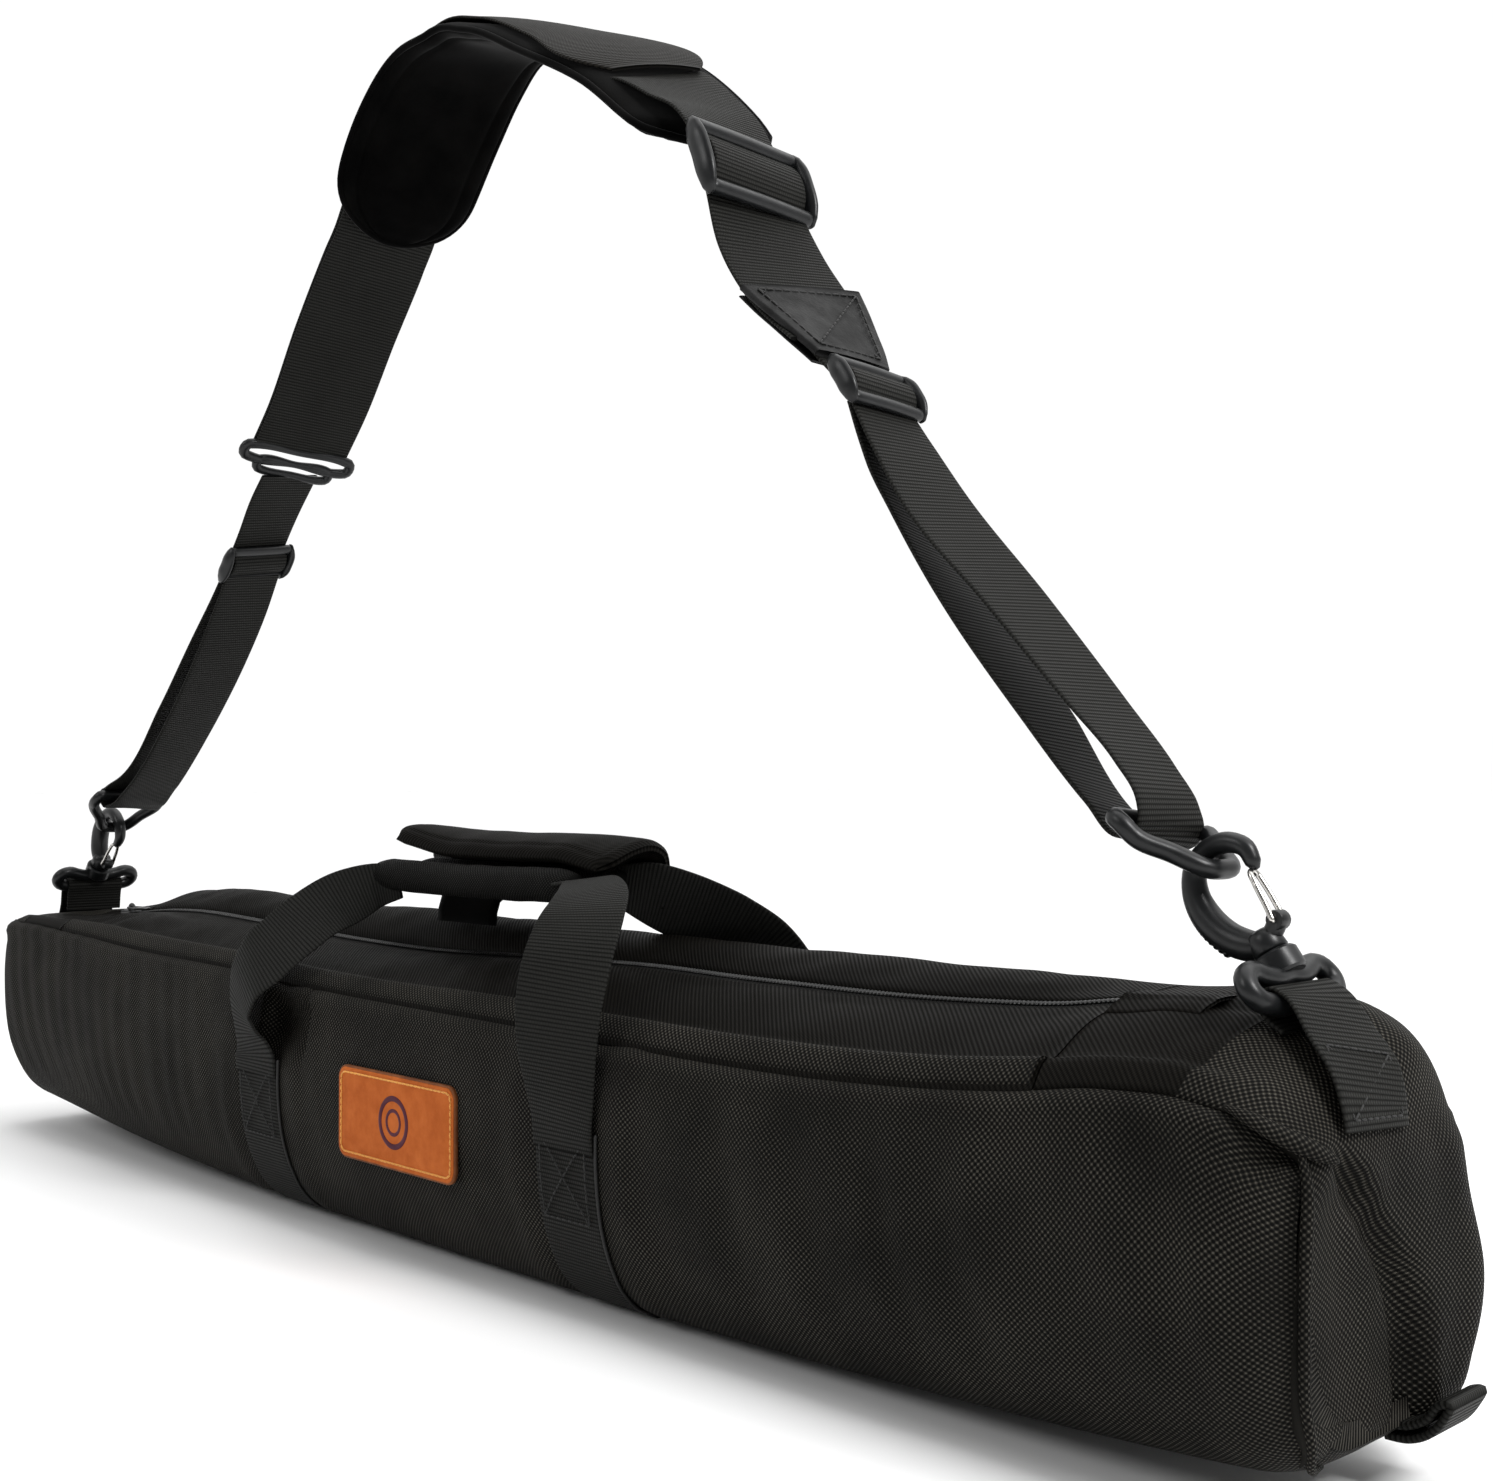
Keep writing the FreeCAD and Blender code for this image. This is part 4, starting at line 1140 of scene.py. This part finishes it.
REAR_FAR_LEG = [(-109.5, 66.6, 70, 1, 0, 0, 1), (-109.5, 67.6, 80, 1, 0, 0, 1),
                (-111, 72, 95, 1, 0, 0, 1), (-112, 75, 112, 1, -0.05, 0, 1),
                (-110, 73, 129, 1, -0.2, -0.1, 1), (-103, 64, 146, 1, -0.3, -0.3, 1),
                (-95, 48, 160, 0.9, -0.4, -0.4, 0.9), (-86, 29, 169, 0.8, -0.5, -0.4, 0.7),
                (-66, 13, 171.5, 0.4, -1, -0.2, 0.38)]


def leg(stations, side):
    return [(x, side * out, z, wx, side * wo, wz, share) for x, out, z, wx, wo, wz, share in stations]


def roll(side):
    """Padded grip: two webbing ends rolled together, slightly sagging and flattened."""
    rows = []
    steps, sides, girth = 46, 24, 2.3
    for i in range(steps + 1):
        t = i / steps
        x = GRIP_X0 - 3 + (GRIP_X1 - GRIP_X0 + 6) * t
        ends = min(1.0, 0.62 + 2.2 * min(t, 1 - t) ** 0.7)
        row = []
        for k in range(sides):
            a = 2 * math.pi * k / sides
            swell = 0.35 * noise.noise(Vector((x / 14, math.cos(a), math.sin(a) + side)))
            r = (ROLL_R - 0.6 + swell) * ends
            y = side * ROLL_Y + r * math.cos(a)
            z = ROLL_Z - 1.2 * math.sin(math.pi * t) + r * 0.95 * math.sin(a)
            row.append(Vector((x, y, z)))
        rows.append(row)
    points, faces, corners = ringed([p for row in rows for p in row], steps + 1, sides,
                                    lambda k, i: (k * girth, rows[i][0].x))
    flat_ends = [(k, 0.0) for k in range(sides)] * 2      # one tone, without weave
    return points, faces, corners[:-2 * sides] + flat_ends


def build_handles():
    for name, side in (("front", FRONT), ("rear", REAR)):
        lines = (FRONT_NEAR_LEG, FRONT_FAR_LEG) if side == FRONT else (REAR_NEAR_LEG, REAR_FAR_LEG)
        legs = [web(leg(line, side), NARROW, WEB, 2.5) for line in lines]
        straps = make(f"{name}_legs", legs, WEBBING, None, (f"{name}_handle_webbing",))
        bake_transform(straps)
        grip = make(f"{name}_grip", [roll(side)], GRIP, f"{name}_handle", (f"{name}_grip_roll",))


FLAP_X0, FLAP_X1 = -76.0, 94.0
FLAP_LINE = [(25.5, 160), (28.5, 168), (29, 177), (27, 184.5), (20, 188.8), (10, 189.5), (0, 187.8),
             (-10, 184)]
FLAP_THICK = 9.0


def build_flap():
    """Padded wrap that is sewn to the rear grip and lies over both, with the tail below its seam."""
    steps, line = 80, resampled(FLAP_LINE, 44)
    x_middle = (FLAP_X0 + FLAP_X1) / 2
    outer, inner, uv = [], [], []
    for i in range(steps + 1):
        t = i / steps
        side_rim = min(1.0, min(t, 1 - t) * 24 + 0.04)
        round_x = math.sqrt(1 - (1 - side_rim) ** 2)
        top, bottom, texture = [], [], []
        for j, (y, z) in enumerate(line):
            s = j / (len(line) - 1)
            ny, nz = outward(line, j)
            free = ramp(s, 0.35, 1.0)
            corner = 1 - 0.06 * ramp(s, 0.8, 1.0) ** 2
            x = x_middle + (FLAP_X0 + (FLAP_X1 - FLAP_X0) * t - x_middle) * corner
            drop = -6.0 * ramp(x, 55, 95) * free - 1.5 * math.sin(math.pi * t) * free
            lift = 5.0 * ramp(-x, 25, 78) * free
            rim = min(1.0, 8.5 * min(s, 1 - s))
            edge = math.sqrt(max(0.02, 1 - (1 - rim) ** 2)) * round_x
            half = FLAP_THICK / 2 * (1 - 0.4 * ramp(0.4 - s, 0, 0.3)) * edge
            half += 0.5 * noise.noise(Vector((x / 20, y / 20, z / 20))) * edge
            seam = 0.8 * bump(min(s * 76, (1 - s) * 76, t * 171, (1 - t) * 171), 7, 2.2) * free
            middle = Vector((x, y, z + drop + lift))
            n = Vector((0, ny, nz))
            top.append(middle + n * (half - seam))
            bottom.append(middle - n * half)
            texture.append((x, s * 75))
        outer.append(top)
        inner.append(bottom)
        uv.append(texture)
    flap = make("grip_wrap", [plate(outer, inner, uv)], TOP, None,
                ("grip_flap", "grip_flap_root"))
    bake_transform(flap)
    hem = [[Vector((x, y + 0.6 * math.sin(x / 9), z)) for x in [-58 + 4 * i for i in range(13)]]
           for y, z in ((13, 163), (9, 160), (7.0, 154.0), (6.6, 147.5))]
    make("wrap_tail", [sheet(hem, 2.4, 1)], VELVET, "rear_handle")


# ---- shoulder strap ---------------------------------------------------------
WIDE = 55.0


def strap_line(points):
    return [turned(*p) for p in points]


NEAR_NARROW = [(228, 388.3, -11, 9), (247, 368.8, -10, 7), (262, 347, -4, 7), (280, 322, 0, 9),
               (317, 283, -1, 6), (351, 246, -1, 0), (371, 224, -2, -4), (379.6, 211, -1, -6),
               (380.6, 204, 0, -7), (377, 198.6, 0, -8), (371, 198, -2, -8), (357, 209, -8, -8),
               (327, 245, -7, 1), (297, 280, -7, -1), (268, 318, -13, -3), (258.5, 336, -11, 2),
               (254, 348, -10, 5), (249, 362, -10, 7)]
NEAR_WIDE = [(229, 388.5, -11, 10), (207.5, 413, 6, 7), (191, 436, 7, 3), (182, 456, 1, 1),
             (176.5, 470, -3, 2), (170, 484, -5, 3), (159.5, 498.5, -8, 9), (143, 512.3, -11, 18),
             (122, 527.2, -11, 22), (107, 534, -11, 23)]
FAR_WIDE = [(-91.5, 515.5, 4, 2), (-97, 506, 10, 5), (-109, 492, 15, 6), (-137, 459, 13, 3),
            (-167, 420, 9, 2), (-184.5, 402.2, 7, 0)]
FAR_NARROW = [(-196.2, 390.2, -14, 1), (-212, 375, -13, 2), (-224, 361, -11, 8), (-237, 345.8, -12, 6),
              (-250, 330.5, -12, 3), (-281, 300, -12, 0), (-321, 264, -21, -2), (-375, 222, -24, -1),
              (-392, 214.4, -14, -2), (-399, 211, -13, -3), (-400.2, 204.6, -13, -3),
              (-395, 201.8, -13, -3), (-386, 203, -15, -3), (-366, 213, -18, -2), (-316, 251, -14, 2),
              (-276, 290, -9, 4), (-252, 318, -9, 4), (-238, 337, -11, 5)]
PAD_LINE = [(157, 489, -9, 20), (141, 505, -11, 25), (112, 530, -10, 24), (62, 558, -12, 20),
            (20, 575, -15, 12), (-8, 579, -16, 5), (-31, 572, 0, -3), (-56, 553, 13, -5),
            (-74, 532, 16, -1), (-84, 516, 9, 2), (-91, 500, 2, 4)]
PAD_WIDTH, PAD_THICK = 72.0, 9.0
CHANNEL = 0.77                 # the sewn channel's place, as a share of the pad's half width


def build_pad():
    """Shoulder pad: padded body, plush underside with a sewn channel, piped edge."""
    frames = frames_along(strap_line(PAD_LINE), 3.0)
    length = frames[-1][3]
    columns = [-1.0, -0.985, -0.95, -0.88, -0.81, -0.77, -0.73, -0.66, -0.5, -0.3, -0.1, 0.1, 0.3, 0.5,
               0.66, 0.73, 0.77, 0.81, 0.88, 0.95, 0.985, 1.0]
    body_out, body_in, uv, rim = [], [], [], [[], []]
    for centre, side, normal, run, _ in frames:
        from_end = min(run, length - run)
        round_end = 30.0 if run > length / 2 else 14.0
        t = min(1.0, from_end / round_end)
        half = PAD_WIDTH / 2 * max(0.25, math.sqrt(max(0.0, 1 - (1 - t) ** 2.4)))
        outer, inner, texture = [], [], []
        for c in columns:
            swell = (1 - abs(c) ** 6) ** 0.5
            channel = 1.5 * math.exp(-((abs(c) - CHANNEL) / 0.035) ** 2)
            ends = 0.35 + 0.65 * min(1.0, from_end / 9.0)
            dent = 1.5 * math.exp(-((from_end - 9.0) / 2.2) ** 2) if abs(c) < CHANNEL else 0.0
            puff = 0.9 * (1 - (c / CHANNEL) ** 2) if abs(c) < CHANNEL else 0.0
            rough = 0.5 * noise.noise(Vector((run / 22, c * 2.0, 3.0)))
            up = PAD_THICK / 2 * swell * ends
            inner_side = up + (puff + rough) * ends - max(channel, dent) * swell
            inner.append(centre + side * (half * c) + normal * inner_side)
            outer.append(centre + side * (half * c) - normal * (up * 0.9))
            texture.append((half * c, run))
        body_out.append(inner)
        body_in.append(outer)
        uv.append(texture)
        rim[0].append((*(centre + side * half), 1.0))
        rim[1].append((*(centre - side * half), 1.0))
    pad = make("shoulder_pad_body", [plate(body_out, body_in, uv)], VELVET, "strap",
               ("shoulder_pad",))
    outline = rim[0] + rim[1][::-1]
    make("pad_piping", [rod(outline[::2], 1.7, closed=True, sides=10, step=4.0)], VELVET,
         "strap")


def build_sleeve():
    """Ribbed sleeve on the pad's outside that the wide webbing runs through."""
    stations = strap_line([(117.5, 526.3, -10, 24, 0.8)] + PAD_LINE[2:-1])
    shapes = [web(stations, WIDE + 4, 1.4, 3.0, crown=-1.8, low=-PAD_THICK / 2 - 1.9,
                  high=-PAD_THICK / 2 - 0.5)]
    make("pad_sleeve_cloth", shapes, SLEEVE, "strap", ("pad_sleeve",))


def build_straps():
    make("near_narrow_strap", [web(strap_line(NEAR_NARROW), NARROW, WEB)], WEBBING, "strap",
         ("near_narrow_webbing",))
    make("near_wide_strap", [web(strap_line(NEAR_WIDE), WIDE, WEB)], WEBBING, "strap",
         ("near_wide_webbing",))
    layers = [web(strap_line(FAR_WIDE), WIDE, WEB), web(strap_line(FAR_WIDE), WIDE, WEB, low=-4.2, high=-2.6)]
    make("far_wide_strap", layers, WEBBING, "strap", ("far_wide_webbing",))
    make("far_narrow_strap", [web(strap_line(FAR_NARROW), NARROW, WEB)], WEBBING, "strap",
         ("far_narrow_webbing",))


def build_patch():
    """Leather reinforcement over the joint of the wide and the narrow webbing."""
    stations = [(234, 381, -11, 10, 0.74), (229, 387.1, -9, 10, 0.85), (221, 396.5, -4, 9, 0.95),
                (213, 406, 2, 8, 1.02), (206, 414.5, 7, 7, 1.05)]
    line = strap_line(stations)
    shapes = [web(line, WIDE + 3, 1.8, 2.0, crown=-0.8, low=-4.4, high=-1.4),
              web(line, WIDE, 1.8, 2.0, low=0.9, high=2.0)]
    make("strap_patch_leather", shapes, PATCH, "strap", ("strap_patch",))
    frames = frames_along(line, 2.0)

    def on_patch(across, share):
        i = min(len(frames) - 1, max(0, round(share * (len(frames) - 1))))
        centre, side, normal = frames[i][:3]
        return centre + side * across - normal * 4.9
    stitches = []
    corners = [on_patch(-18, 0.1), on_patch(18, 0.1), on_patch(25.5, 0.9), on_patch(-25.5, 0.9)]
    out = -frames[len(frames) // 2][2]
    for i, j in BOX_AND_CROSS:
        stitches += stitch_run(corners[i], corners[j], out, 2.6, 1.5, 0.45)
    make("patch_stitches", stitches, BLACK_THREAD, "strap")


# ---- moulded and metal fittings ------------------------------------------------
def placed(origin, along, across):
    a, c = Vector(along).normalized(), Vector(across).normalized()
    n = a.cross(c)

    def at(u, v, w=0.0):
        return Vector(origin) + c * u + a * v + n * w
    return at


def swing(yaw, tilt):
    return Vector(turned(0, 0, yaw, tilt)[3:6])


def frame_path(at, half_u, v0, v1, corner, ends):
    """Rounded rectangle for a moulded bar, thicker at its corners than at the middle of its bars."""
    points = []
    for u, v, start in ((half_u - corner, v1 - corner, 0), (-half_u + corner, v1 - corner, 90),
                        (-half_u + corner, v0 + corner, 180), (half_u - corner, v0 + corner, 270)):
        for step in range(4):
            a = math.radians(start + 30 * step)
            points.append((*at(u + corner * math.cos(a), v + corner * math.sin(a)), ends))
        if start in (0, 180):
            points.append((*at(0, v1 if start == 0 else v0), 1.0))
    return points


# (place along the rail, how far it turns in, depth, thickness)
RAIL = [(-1, 0.5, 0.9, 0.72), (-0.6, 0, 1.1, 0.95), (0, 0, 1.2, 1.0), (0.6, 0, 1.1, 0.95),
        (1, 0.5, 0.9, 0.72)]


def ladder(centre, along, yaw, tilt, half_length, inner, bar, name, body):
    """Slide with two outer bars and thick side rails, and the webbing's hump over its middle bar."""
    tangent = Vector((along[0], 0, along[1])).normalized()
    across = swing(yaw, tilt)
    across = (across - tangent * across.dot(tangent)).normalized()
    at = placed((centre[0], 0, centre[1]), tangent, across)
    half = inner / 2 + bar
    lift = WEB / 2 + 0.3 + bar * 0.8
    bars = [rod([at(2.6 - half, v, -lift * 0.9), at(0, v, -lift), at(half - 2.6, v, -lift * 0.9)],
                bar * 1.15, sides=14, flat=0.85, up=tangent.cross(across), step=2.0)
            for v in (-half_length, half_length)]
    middle = rod([at(-half, 0, -lift * 0.7), at(0, 0, -lift * 0.7), at(half, 0, -lift * 0.7)], bar * 0.8,
                 sides=12, flat=0.8, up=tangent.cross(across), step=2.0)
    rails = []
    for s in (-1, 1):
        line = [(*at(s * (half - turned_in), v * half_length, -lift * low), share)
                for v, turned_in, low, share in RAIL]
        rails.append(rod(line, bar * 1.7, sides=18, flat=0.5, up=across, step=1.2))
    make(name, bars + [middle] + rails, PLASTIC, body, (body,))
    stations = []
    for v, w in ((-0.93, 0.1), (-0.72, 0.75), (-0.4, 1.25), (0.0, 1.42), (0.4, 1.25), (0.72, 0.75),
                 (0.93, 0.1)):
        p = at(0, v * half_length, -w * (lift + bar * 0.5))
        stations.append((*p, *across, 1.0))
    make(f"{name}_web", [web(stations, inner - 1.6, WEB, 1.2)], WEBBING, body)


def build_slides():
    ladder((247, 368.8), (-31, 45), -10, 7, 9.0, NARROW + 1.0, 2.5, "near_slide", "near_triglide")
    ladder((176.5, 470), (-17, 44), -4, 2, 14.5, WIDE + 1.0, 3.1, "wide_slide", "wide_slider")
    ladder((-237, 345.8), (26, 30.5), -12, 6, 9.0, NARROW + 1.0, 2.5, "far_slide", "far_triglide")


def build_adapter():
    """Flat fitting that joins the wide webbing to the narrow one."""
    tangent = Vector((18, 0, 19)).normalized()
    across = swing(9, 0)
    across = (across - tangent * across.dot(tangent)).normalized()
    at = placed((-190, 0, 396.5), tangent, across)
    up = tangent.cross(across)
    wide = rod(frame_path(at, 31.5, -1.0, 7.0, 3.4, 1.45), 2.0, closed=True, sides=14, flat=0.9, up=up,
               step=1.4)
    narrow = rod(frame_path(at, 21.5, -8.0, -1.0, 3.0, 1.3), 2.0, closed=True, sides=14, flat=0.9, up=up,
                 step=1.4)
    make("strap_adapter", [wide, narrow], PLASTIC, "strap", ("far_adapter",))


HOOK_TOP, HOOK_WIRE, RING_WIRE = 52.5, 3.3, 3.3
BASE_DROP = 7.0                # the base's bar lies this far below the swivel's seat


def build_hook(end, bar, tilt, ring_bar, ring_tilt):
    origin = Vector((bar[0], 0, bar[1]))
    axis = Vector((tilt[0], 0, tilt[1])).normalized()
    base = placed(origin, axis, (0, 1, 0))
    ear = [base(-18, -BASE_DROP), base(0, -BASE_DROP), base(18, -BASE_DROP)]
    arm_line = [(22.8, -5.4), (25.0, -1.8), (23.6, 2.4), (18.6, 4.4), (13.0, 2.6), (8.0, 1.4)]
    ear += [base(u, v) for u, v in arm_line] + [base(0, 2.0)] + [base(-u, v) for u, v in arm_line[::-1]]
    loop = rod(ear, 3.7, closed=True, sides=16, up=(1, 0, 0.2), step=1.6)
    collar = lathe([(0.5, 2), (3.0, 2), (3.2, 8), (3.2, 10), (3.0, 12.4), (2.2, 14.4), (0.4, 15)],
                   origin, axis)
    collar_foot = lathe([(0.5, 1.6), (6.9, 1.6), (7.7, 2.5), (7.7, 8.6), (6.9, 9.5), (0.5, 9.5)], origin,
                        axis)
    make(f"{end}_base", [loop, collar, collar_foot], PLASTIC, "root", (f"{end}_swivel_base",),
         sharp=38)

    side = -axis.cross(Vector((0, 1, 0)))
    hook = placed(origin, axis, side)
    neck = lathe([(3.4, 9.8), (5.2, 9.8), (6.0, 10.8), (5.6, 15.0), (5.0, 17.0), (3.4, 18.0)], origin, axis)
    path = [(*hook(-0.5, 13.0), 1.15), (*hook(-5.4, 16.0), 1.4), (*hook(-10.6, 22.5), 1.45),
            (*hook(-13.4, 31), 1.42), (*hook(-12.6, 40.5), 1.22), (*hook(-7.6, 47.6), 1.05),
            (*hook(0, 49.6), 1.0), (*hook(7.6, 47.4), 0.95), (*hook(11.6, 42.4), 0.86),
            (*hook(11.2, 37.2), 0.72)]
    bow = rod(path, HOOK_WIRE * 1.12, sides=16, step=1.2)
    teeth = []
    for i in range(9):
        t = i / 8
        u, v = -13.0 - 5.0 * math.sin(math.pi * (0.08 + 0.5 * t)), 18.0 + 16 * t
        teeth.append(rod([hook(u + 1.2, v, -2.6), hook(u, v, 0), hook(u + 1.2, v, 2.6)], 0.95,
                         sides=8, step=1.2))
    lug = lathe([(0.3, -2.7), (3.0, -2.7), (3.3, -2.0), (3.3, 2.0), (3.0, 2.7), (0.3, 2.7)],
                hook(8.0, 17.5), (0, 1, 0), 18)
    arm = rod([hook(1.0, 14.5), hook(4.5, 15.5), hook(7.8, 17.5)], 3.2, sides=12)
    make(f"{end}_snap", [neck, bow, lug, arm] + teeth, PLASTIC, f"{end}_hook",
         (f"{end}_hook",), sharp=60)

    gate = rod([hook(8.0, 17.5, -3.7), hook(8.4, 21, -3.3), hook(9.0, 30.5, -2.6), hook(9.2, 34.6, -1.6),
                hook(9.3, 35.4, 0), hook(9.2, 34.6, 1.6), hook(9.0, 30.5, 2.6), hook(8.4, 21, 3.3),
                hook(8.0, 17.5, 3.7)], 1.0, sides=10, step=1.0)
    make(f"{end}_wire_gate", [gate], STEEL, f"{end}_gate", (f"{end}_gate",))

    seat = base(0, HOOK_TOP - 2 * HOOK_WIRE - RING_WIRE - 0.5)
    top = Vector((ring_bar[0], 0, ring_bar[1]))
    rise = (top - seat).length
    across = swing(*ring_tilt)
    flat_at = placed(seat, top - seat, (0, 1, 0))
    tilted = placed(top, top - seat, across)
    ring_path = [flat_at(-6, 0.2), flat_at(0, -0.4), flat_at(6, 0.2), flat_at(14, rise * 0.38),
                 flat_at(21, rise * 0.72), tilted(23.6, -3.6), tilted(22.6, -0.6), tilted(17, 0.4),
                 tilted(0, 0.6), tilted(-17, 0.4), tilted(-22.6, -0.6), tilted(-23.6, -3.6),
                 flat_at(-21, rise * 0.72), flat_at(-14, rise * 0.38)]
    ring = rod(ring_path, RING_WIRE, closed=True, sides=14, up=(1, 0, 0.3), step=1.6)
    make(f"{end}_strap_ring", [ring], PLASTIC, "strap", (f"{end}_ring",))


def loop_line(bar, sign):
    """Tab webbing's half turn over the base bar, from its outer side to its inner one."""
    (bx, bz), reach, line = bar, 4.7, []
    for degrees in (45, 90, 135, 180, 225):
        a = math.radians(degrees)
        line.append((bx + sign * reach * math.cos(a), bz + reach * math.sin(a)))
    return line


def web_stitches(frames, low, high, half, out):
    """Box and cross stitching on webbing between two distances along it."""
    def at(across, run):
        i = min(range(len(frames)), key=lambda n: abs(frames[n][3] - run))
        centre, side, normal = frames[i][:3]
        return centre + side * across + normal * out
    corners = [at(-half, low), at(half, low), at(half, high), at(-half, high)]
    lift = frames[len(frames) // 2][2] * (1 if out > 0 else -1)
    stitches = []
    for i, j in BOX_AND_CROSS:
        parts = [corners[i].lerp(corners[j], n / 4) for n in range(5)]
        for a, b in zip(parts, parts[1:]):
            stitches += stitch_run(a, b, lift)
    return stitches


def build_tabs():
    tab = NARROW - 2
    bar = (424.0 + 0.58 * BASE_DROP, 155.5 - 0.815 * BASE_DROP)
    foot = [(458.6, -10, 114.5, 0.1), (457.4, -9.5, 121, 0.1), (453.6, -7.5, 130.5, 0.08),
            (444, -3.5, 141.5, 0.04)]
    stations = [(x, y, z, 0, 1, w, 1) for x, y, z, w in foot]
    stations += [(x, 0.0, z, 0, 1, 0, 1) for x, z in loop_line(bar, 1) + [(432, 141)]]
    make("near_tab_web", [web(stations, tab, 1.6, 1.5)], WEBBING, "root", ("near_tab",))
    frames = frames_along(stations, 1.5)
    out = 0.9 if frames[4][2].x > 0 else -0.9
    stitches = web_stitches(frames, 3, 24, 14, out)
    bar = (-444.0 - 0.62 * BASE_DROP, 155.5 - 0.785 * BASE_DROP)
    far_line = [(-463, 116), (-461, 126), (-457, 136)] + loop_line(bar, -1) + [(-447, 134)]
    far = [(x, 0.0, z, 0, 1, 0, 1) for x, z in far_line]
    make("far_tab_web", [web(far, tab, 1.6, 1.5)], WEBBING, "root", ("far_tab",))
    frames = frames_along(far, 1.5)
    out = 0.9 if frames[4][2].x < 0 else -0.9
    stitches += web_stitches(frames, 3, 18, 14, out)
    make("tab_stitches", stitches, BLACK_THREAD, "root")


GRAB_Y = 21.0


def build_grab():
    """Folded webbing tab at the foot of the near end."""
    line = [(449, 19.0), (456, 19.5), (463, 23.0), (467.5, 28.5)]
    outer = [(x, GRAB_Y, z + 1.9, 0, 1, 0, 1) for x, z in line]
    bend = [(470.8, GRAB_Y, 31.2, 0, 1, 0, 1)]
    back = [(x + 1.2, GRAB_Y, z - 1.9, 0, 1, 0, 1) for x, z in line[::-1]]
    make("grab_web", [web(outer + bend + back, 24.0, 2.6, 1.2)], WEBBING, "grab_tab",
         ("grab_tab",))


# ---- stage -----------------------------------------------------------------
BACKDROP_SIDE = (-0.72, 0.69, 0.10)       # the light backdrop stands behind the case
DARK_SIDE, LIGHT_SIDE = 0.20, 1.02        # world strength away from the backdrop and towards it
FLOOR_HALF = 30.0                         # metres
CAMERA_PLACE = (0.7249, -0.5250, 0.2186)
CAMERA_TILT, CAMERA_TURN = 91.25, 46.28   # degrees
LENS, SENSOR = 44.165, 36.0
# name, place, aim, size in metres, watts
LIGHTS = [("key", (1.75, 0.0, 1.45), (0.35, 0, 0.12), 0.6, 34.0),
          ("front", (-0.5, -2.0, 1.7), (0, 0, 0.12), 1.0, 14.0)]


def build_stage():
    floor_mesh = bpy.data.meshes.new("floor")
    f = FLOOR_HALF
    floor_mesh.from_pydata([(-f, -f, 0), (f, -f, 0), (f, f, 0), (-f, f, 0)], [], [(0, 1, 2, 3)])
    floor = bpy.data.objects.new("floor", floor_mesh)
    bpy.context.scene.collection.objects.link(floor)
    s = Shader("pale_floor", 0.75)
    s.colour(s.mix(s.noise(400.0, 2.0), (0.86, 0.86, 0.86), (0.90, 0.90, 0.90)))
    floor.data.materials.append(s.material)

    world = bpy.data.worlds.new("studio")
    world.use_nodes = True
    tree = world.node_tree
    coordinates = tree.nodes.new("ShaderNodeTexCoord")
    toward = tree.nodes.new("ShaderNodeVectorMath")
    toward.operation = "DOT_PRODUCT"
    toward.inputs[1].default_value = BACKDROP_SIDE
    level = tree.nodes.new("ShaderNodeMapRange")
    for key, number in (("From Min", -0.45), ("From Max", 0.5), ("To Min", DARK_SIDE),
                        ("To Max", LIGHT_SIDE)):
        level.inputs[key].default_value = number
    tree.links.new(coordinates.outputs["Generated"], toward.inputs[0])
    tree.links.new(toward.outputs["Value"], level.inputs["Value"])
    tree.links.new(level.outputs["Result"], tree.nodes["Background"].inputs["Strength"])
    tree.nodes["Background"].inputs["Color"].default_value = (1.0, 1.0, 1.0, 1.0)
    bpy.context.scene.world = world
    bpy.context.scene.view_settings.view_transform = "Standard"

    overhead = bpy.data.lights.new("overhead", "SUN")
    overhead.energy = 1.7
    overhead.angle = math.radians(75)
    sky = bpy.data.objects.new("overhead", overhead)
    sky.rotation_euler = (math.radians(-14), math.radians(8), 0.0)
    bpy.context.scene.collection.objects.link(sky)

    for name, place, aim, size, power in LIGHTS:
        light = bpy.data.lights.new(name, "AREA")
        light.shape = "SQUARE"
        light.size = size
        light.energy = power
        lamp = bpy.data.objects.new(name, light)
        lamp.location = place
        lamp.rotation_euler = (Vector(aim) - Vector(place)).to_track_quat("-Z", "Y").to_euler()
        bpy.context.scene.collection.objects.link(lamp)

    camera = bpy.data.cameras.new("camera")
    camera.lens, camera.sensor_width = LENS, SENSOR
    eye = bpy.data.objects.new("camera", camera)
    eye.location = CAMERA_PLACE
    eye.rotation_euler = (math.radians(CAMERA_TILT), 0.0, math.radians(CAMERA_TURN))
    bpy.context.scene.collection.objects.link(eye)
    bpy.context.scene.camera = eye


build_stage()
build_trough()
build_lids()
build_hems()
build_zip()
build_ends()
build_seams()
build_garage()
build_bands()
build_badge()
build_handles()
build_flap()
build_pad()
build_sleeve()
build_straps()
build_patch()
build_slides()
build_adapter()
build_hook("near", (424.0, 155.5), (-0.58, 0.815), (374.0, 204.0), (1, -7))
build_hook("far", (-444.0, 155.5), (0.62, 0.785), (-394.0, 208.0), (-13, -3))
build_tabs()
build_grab()
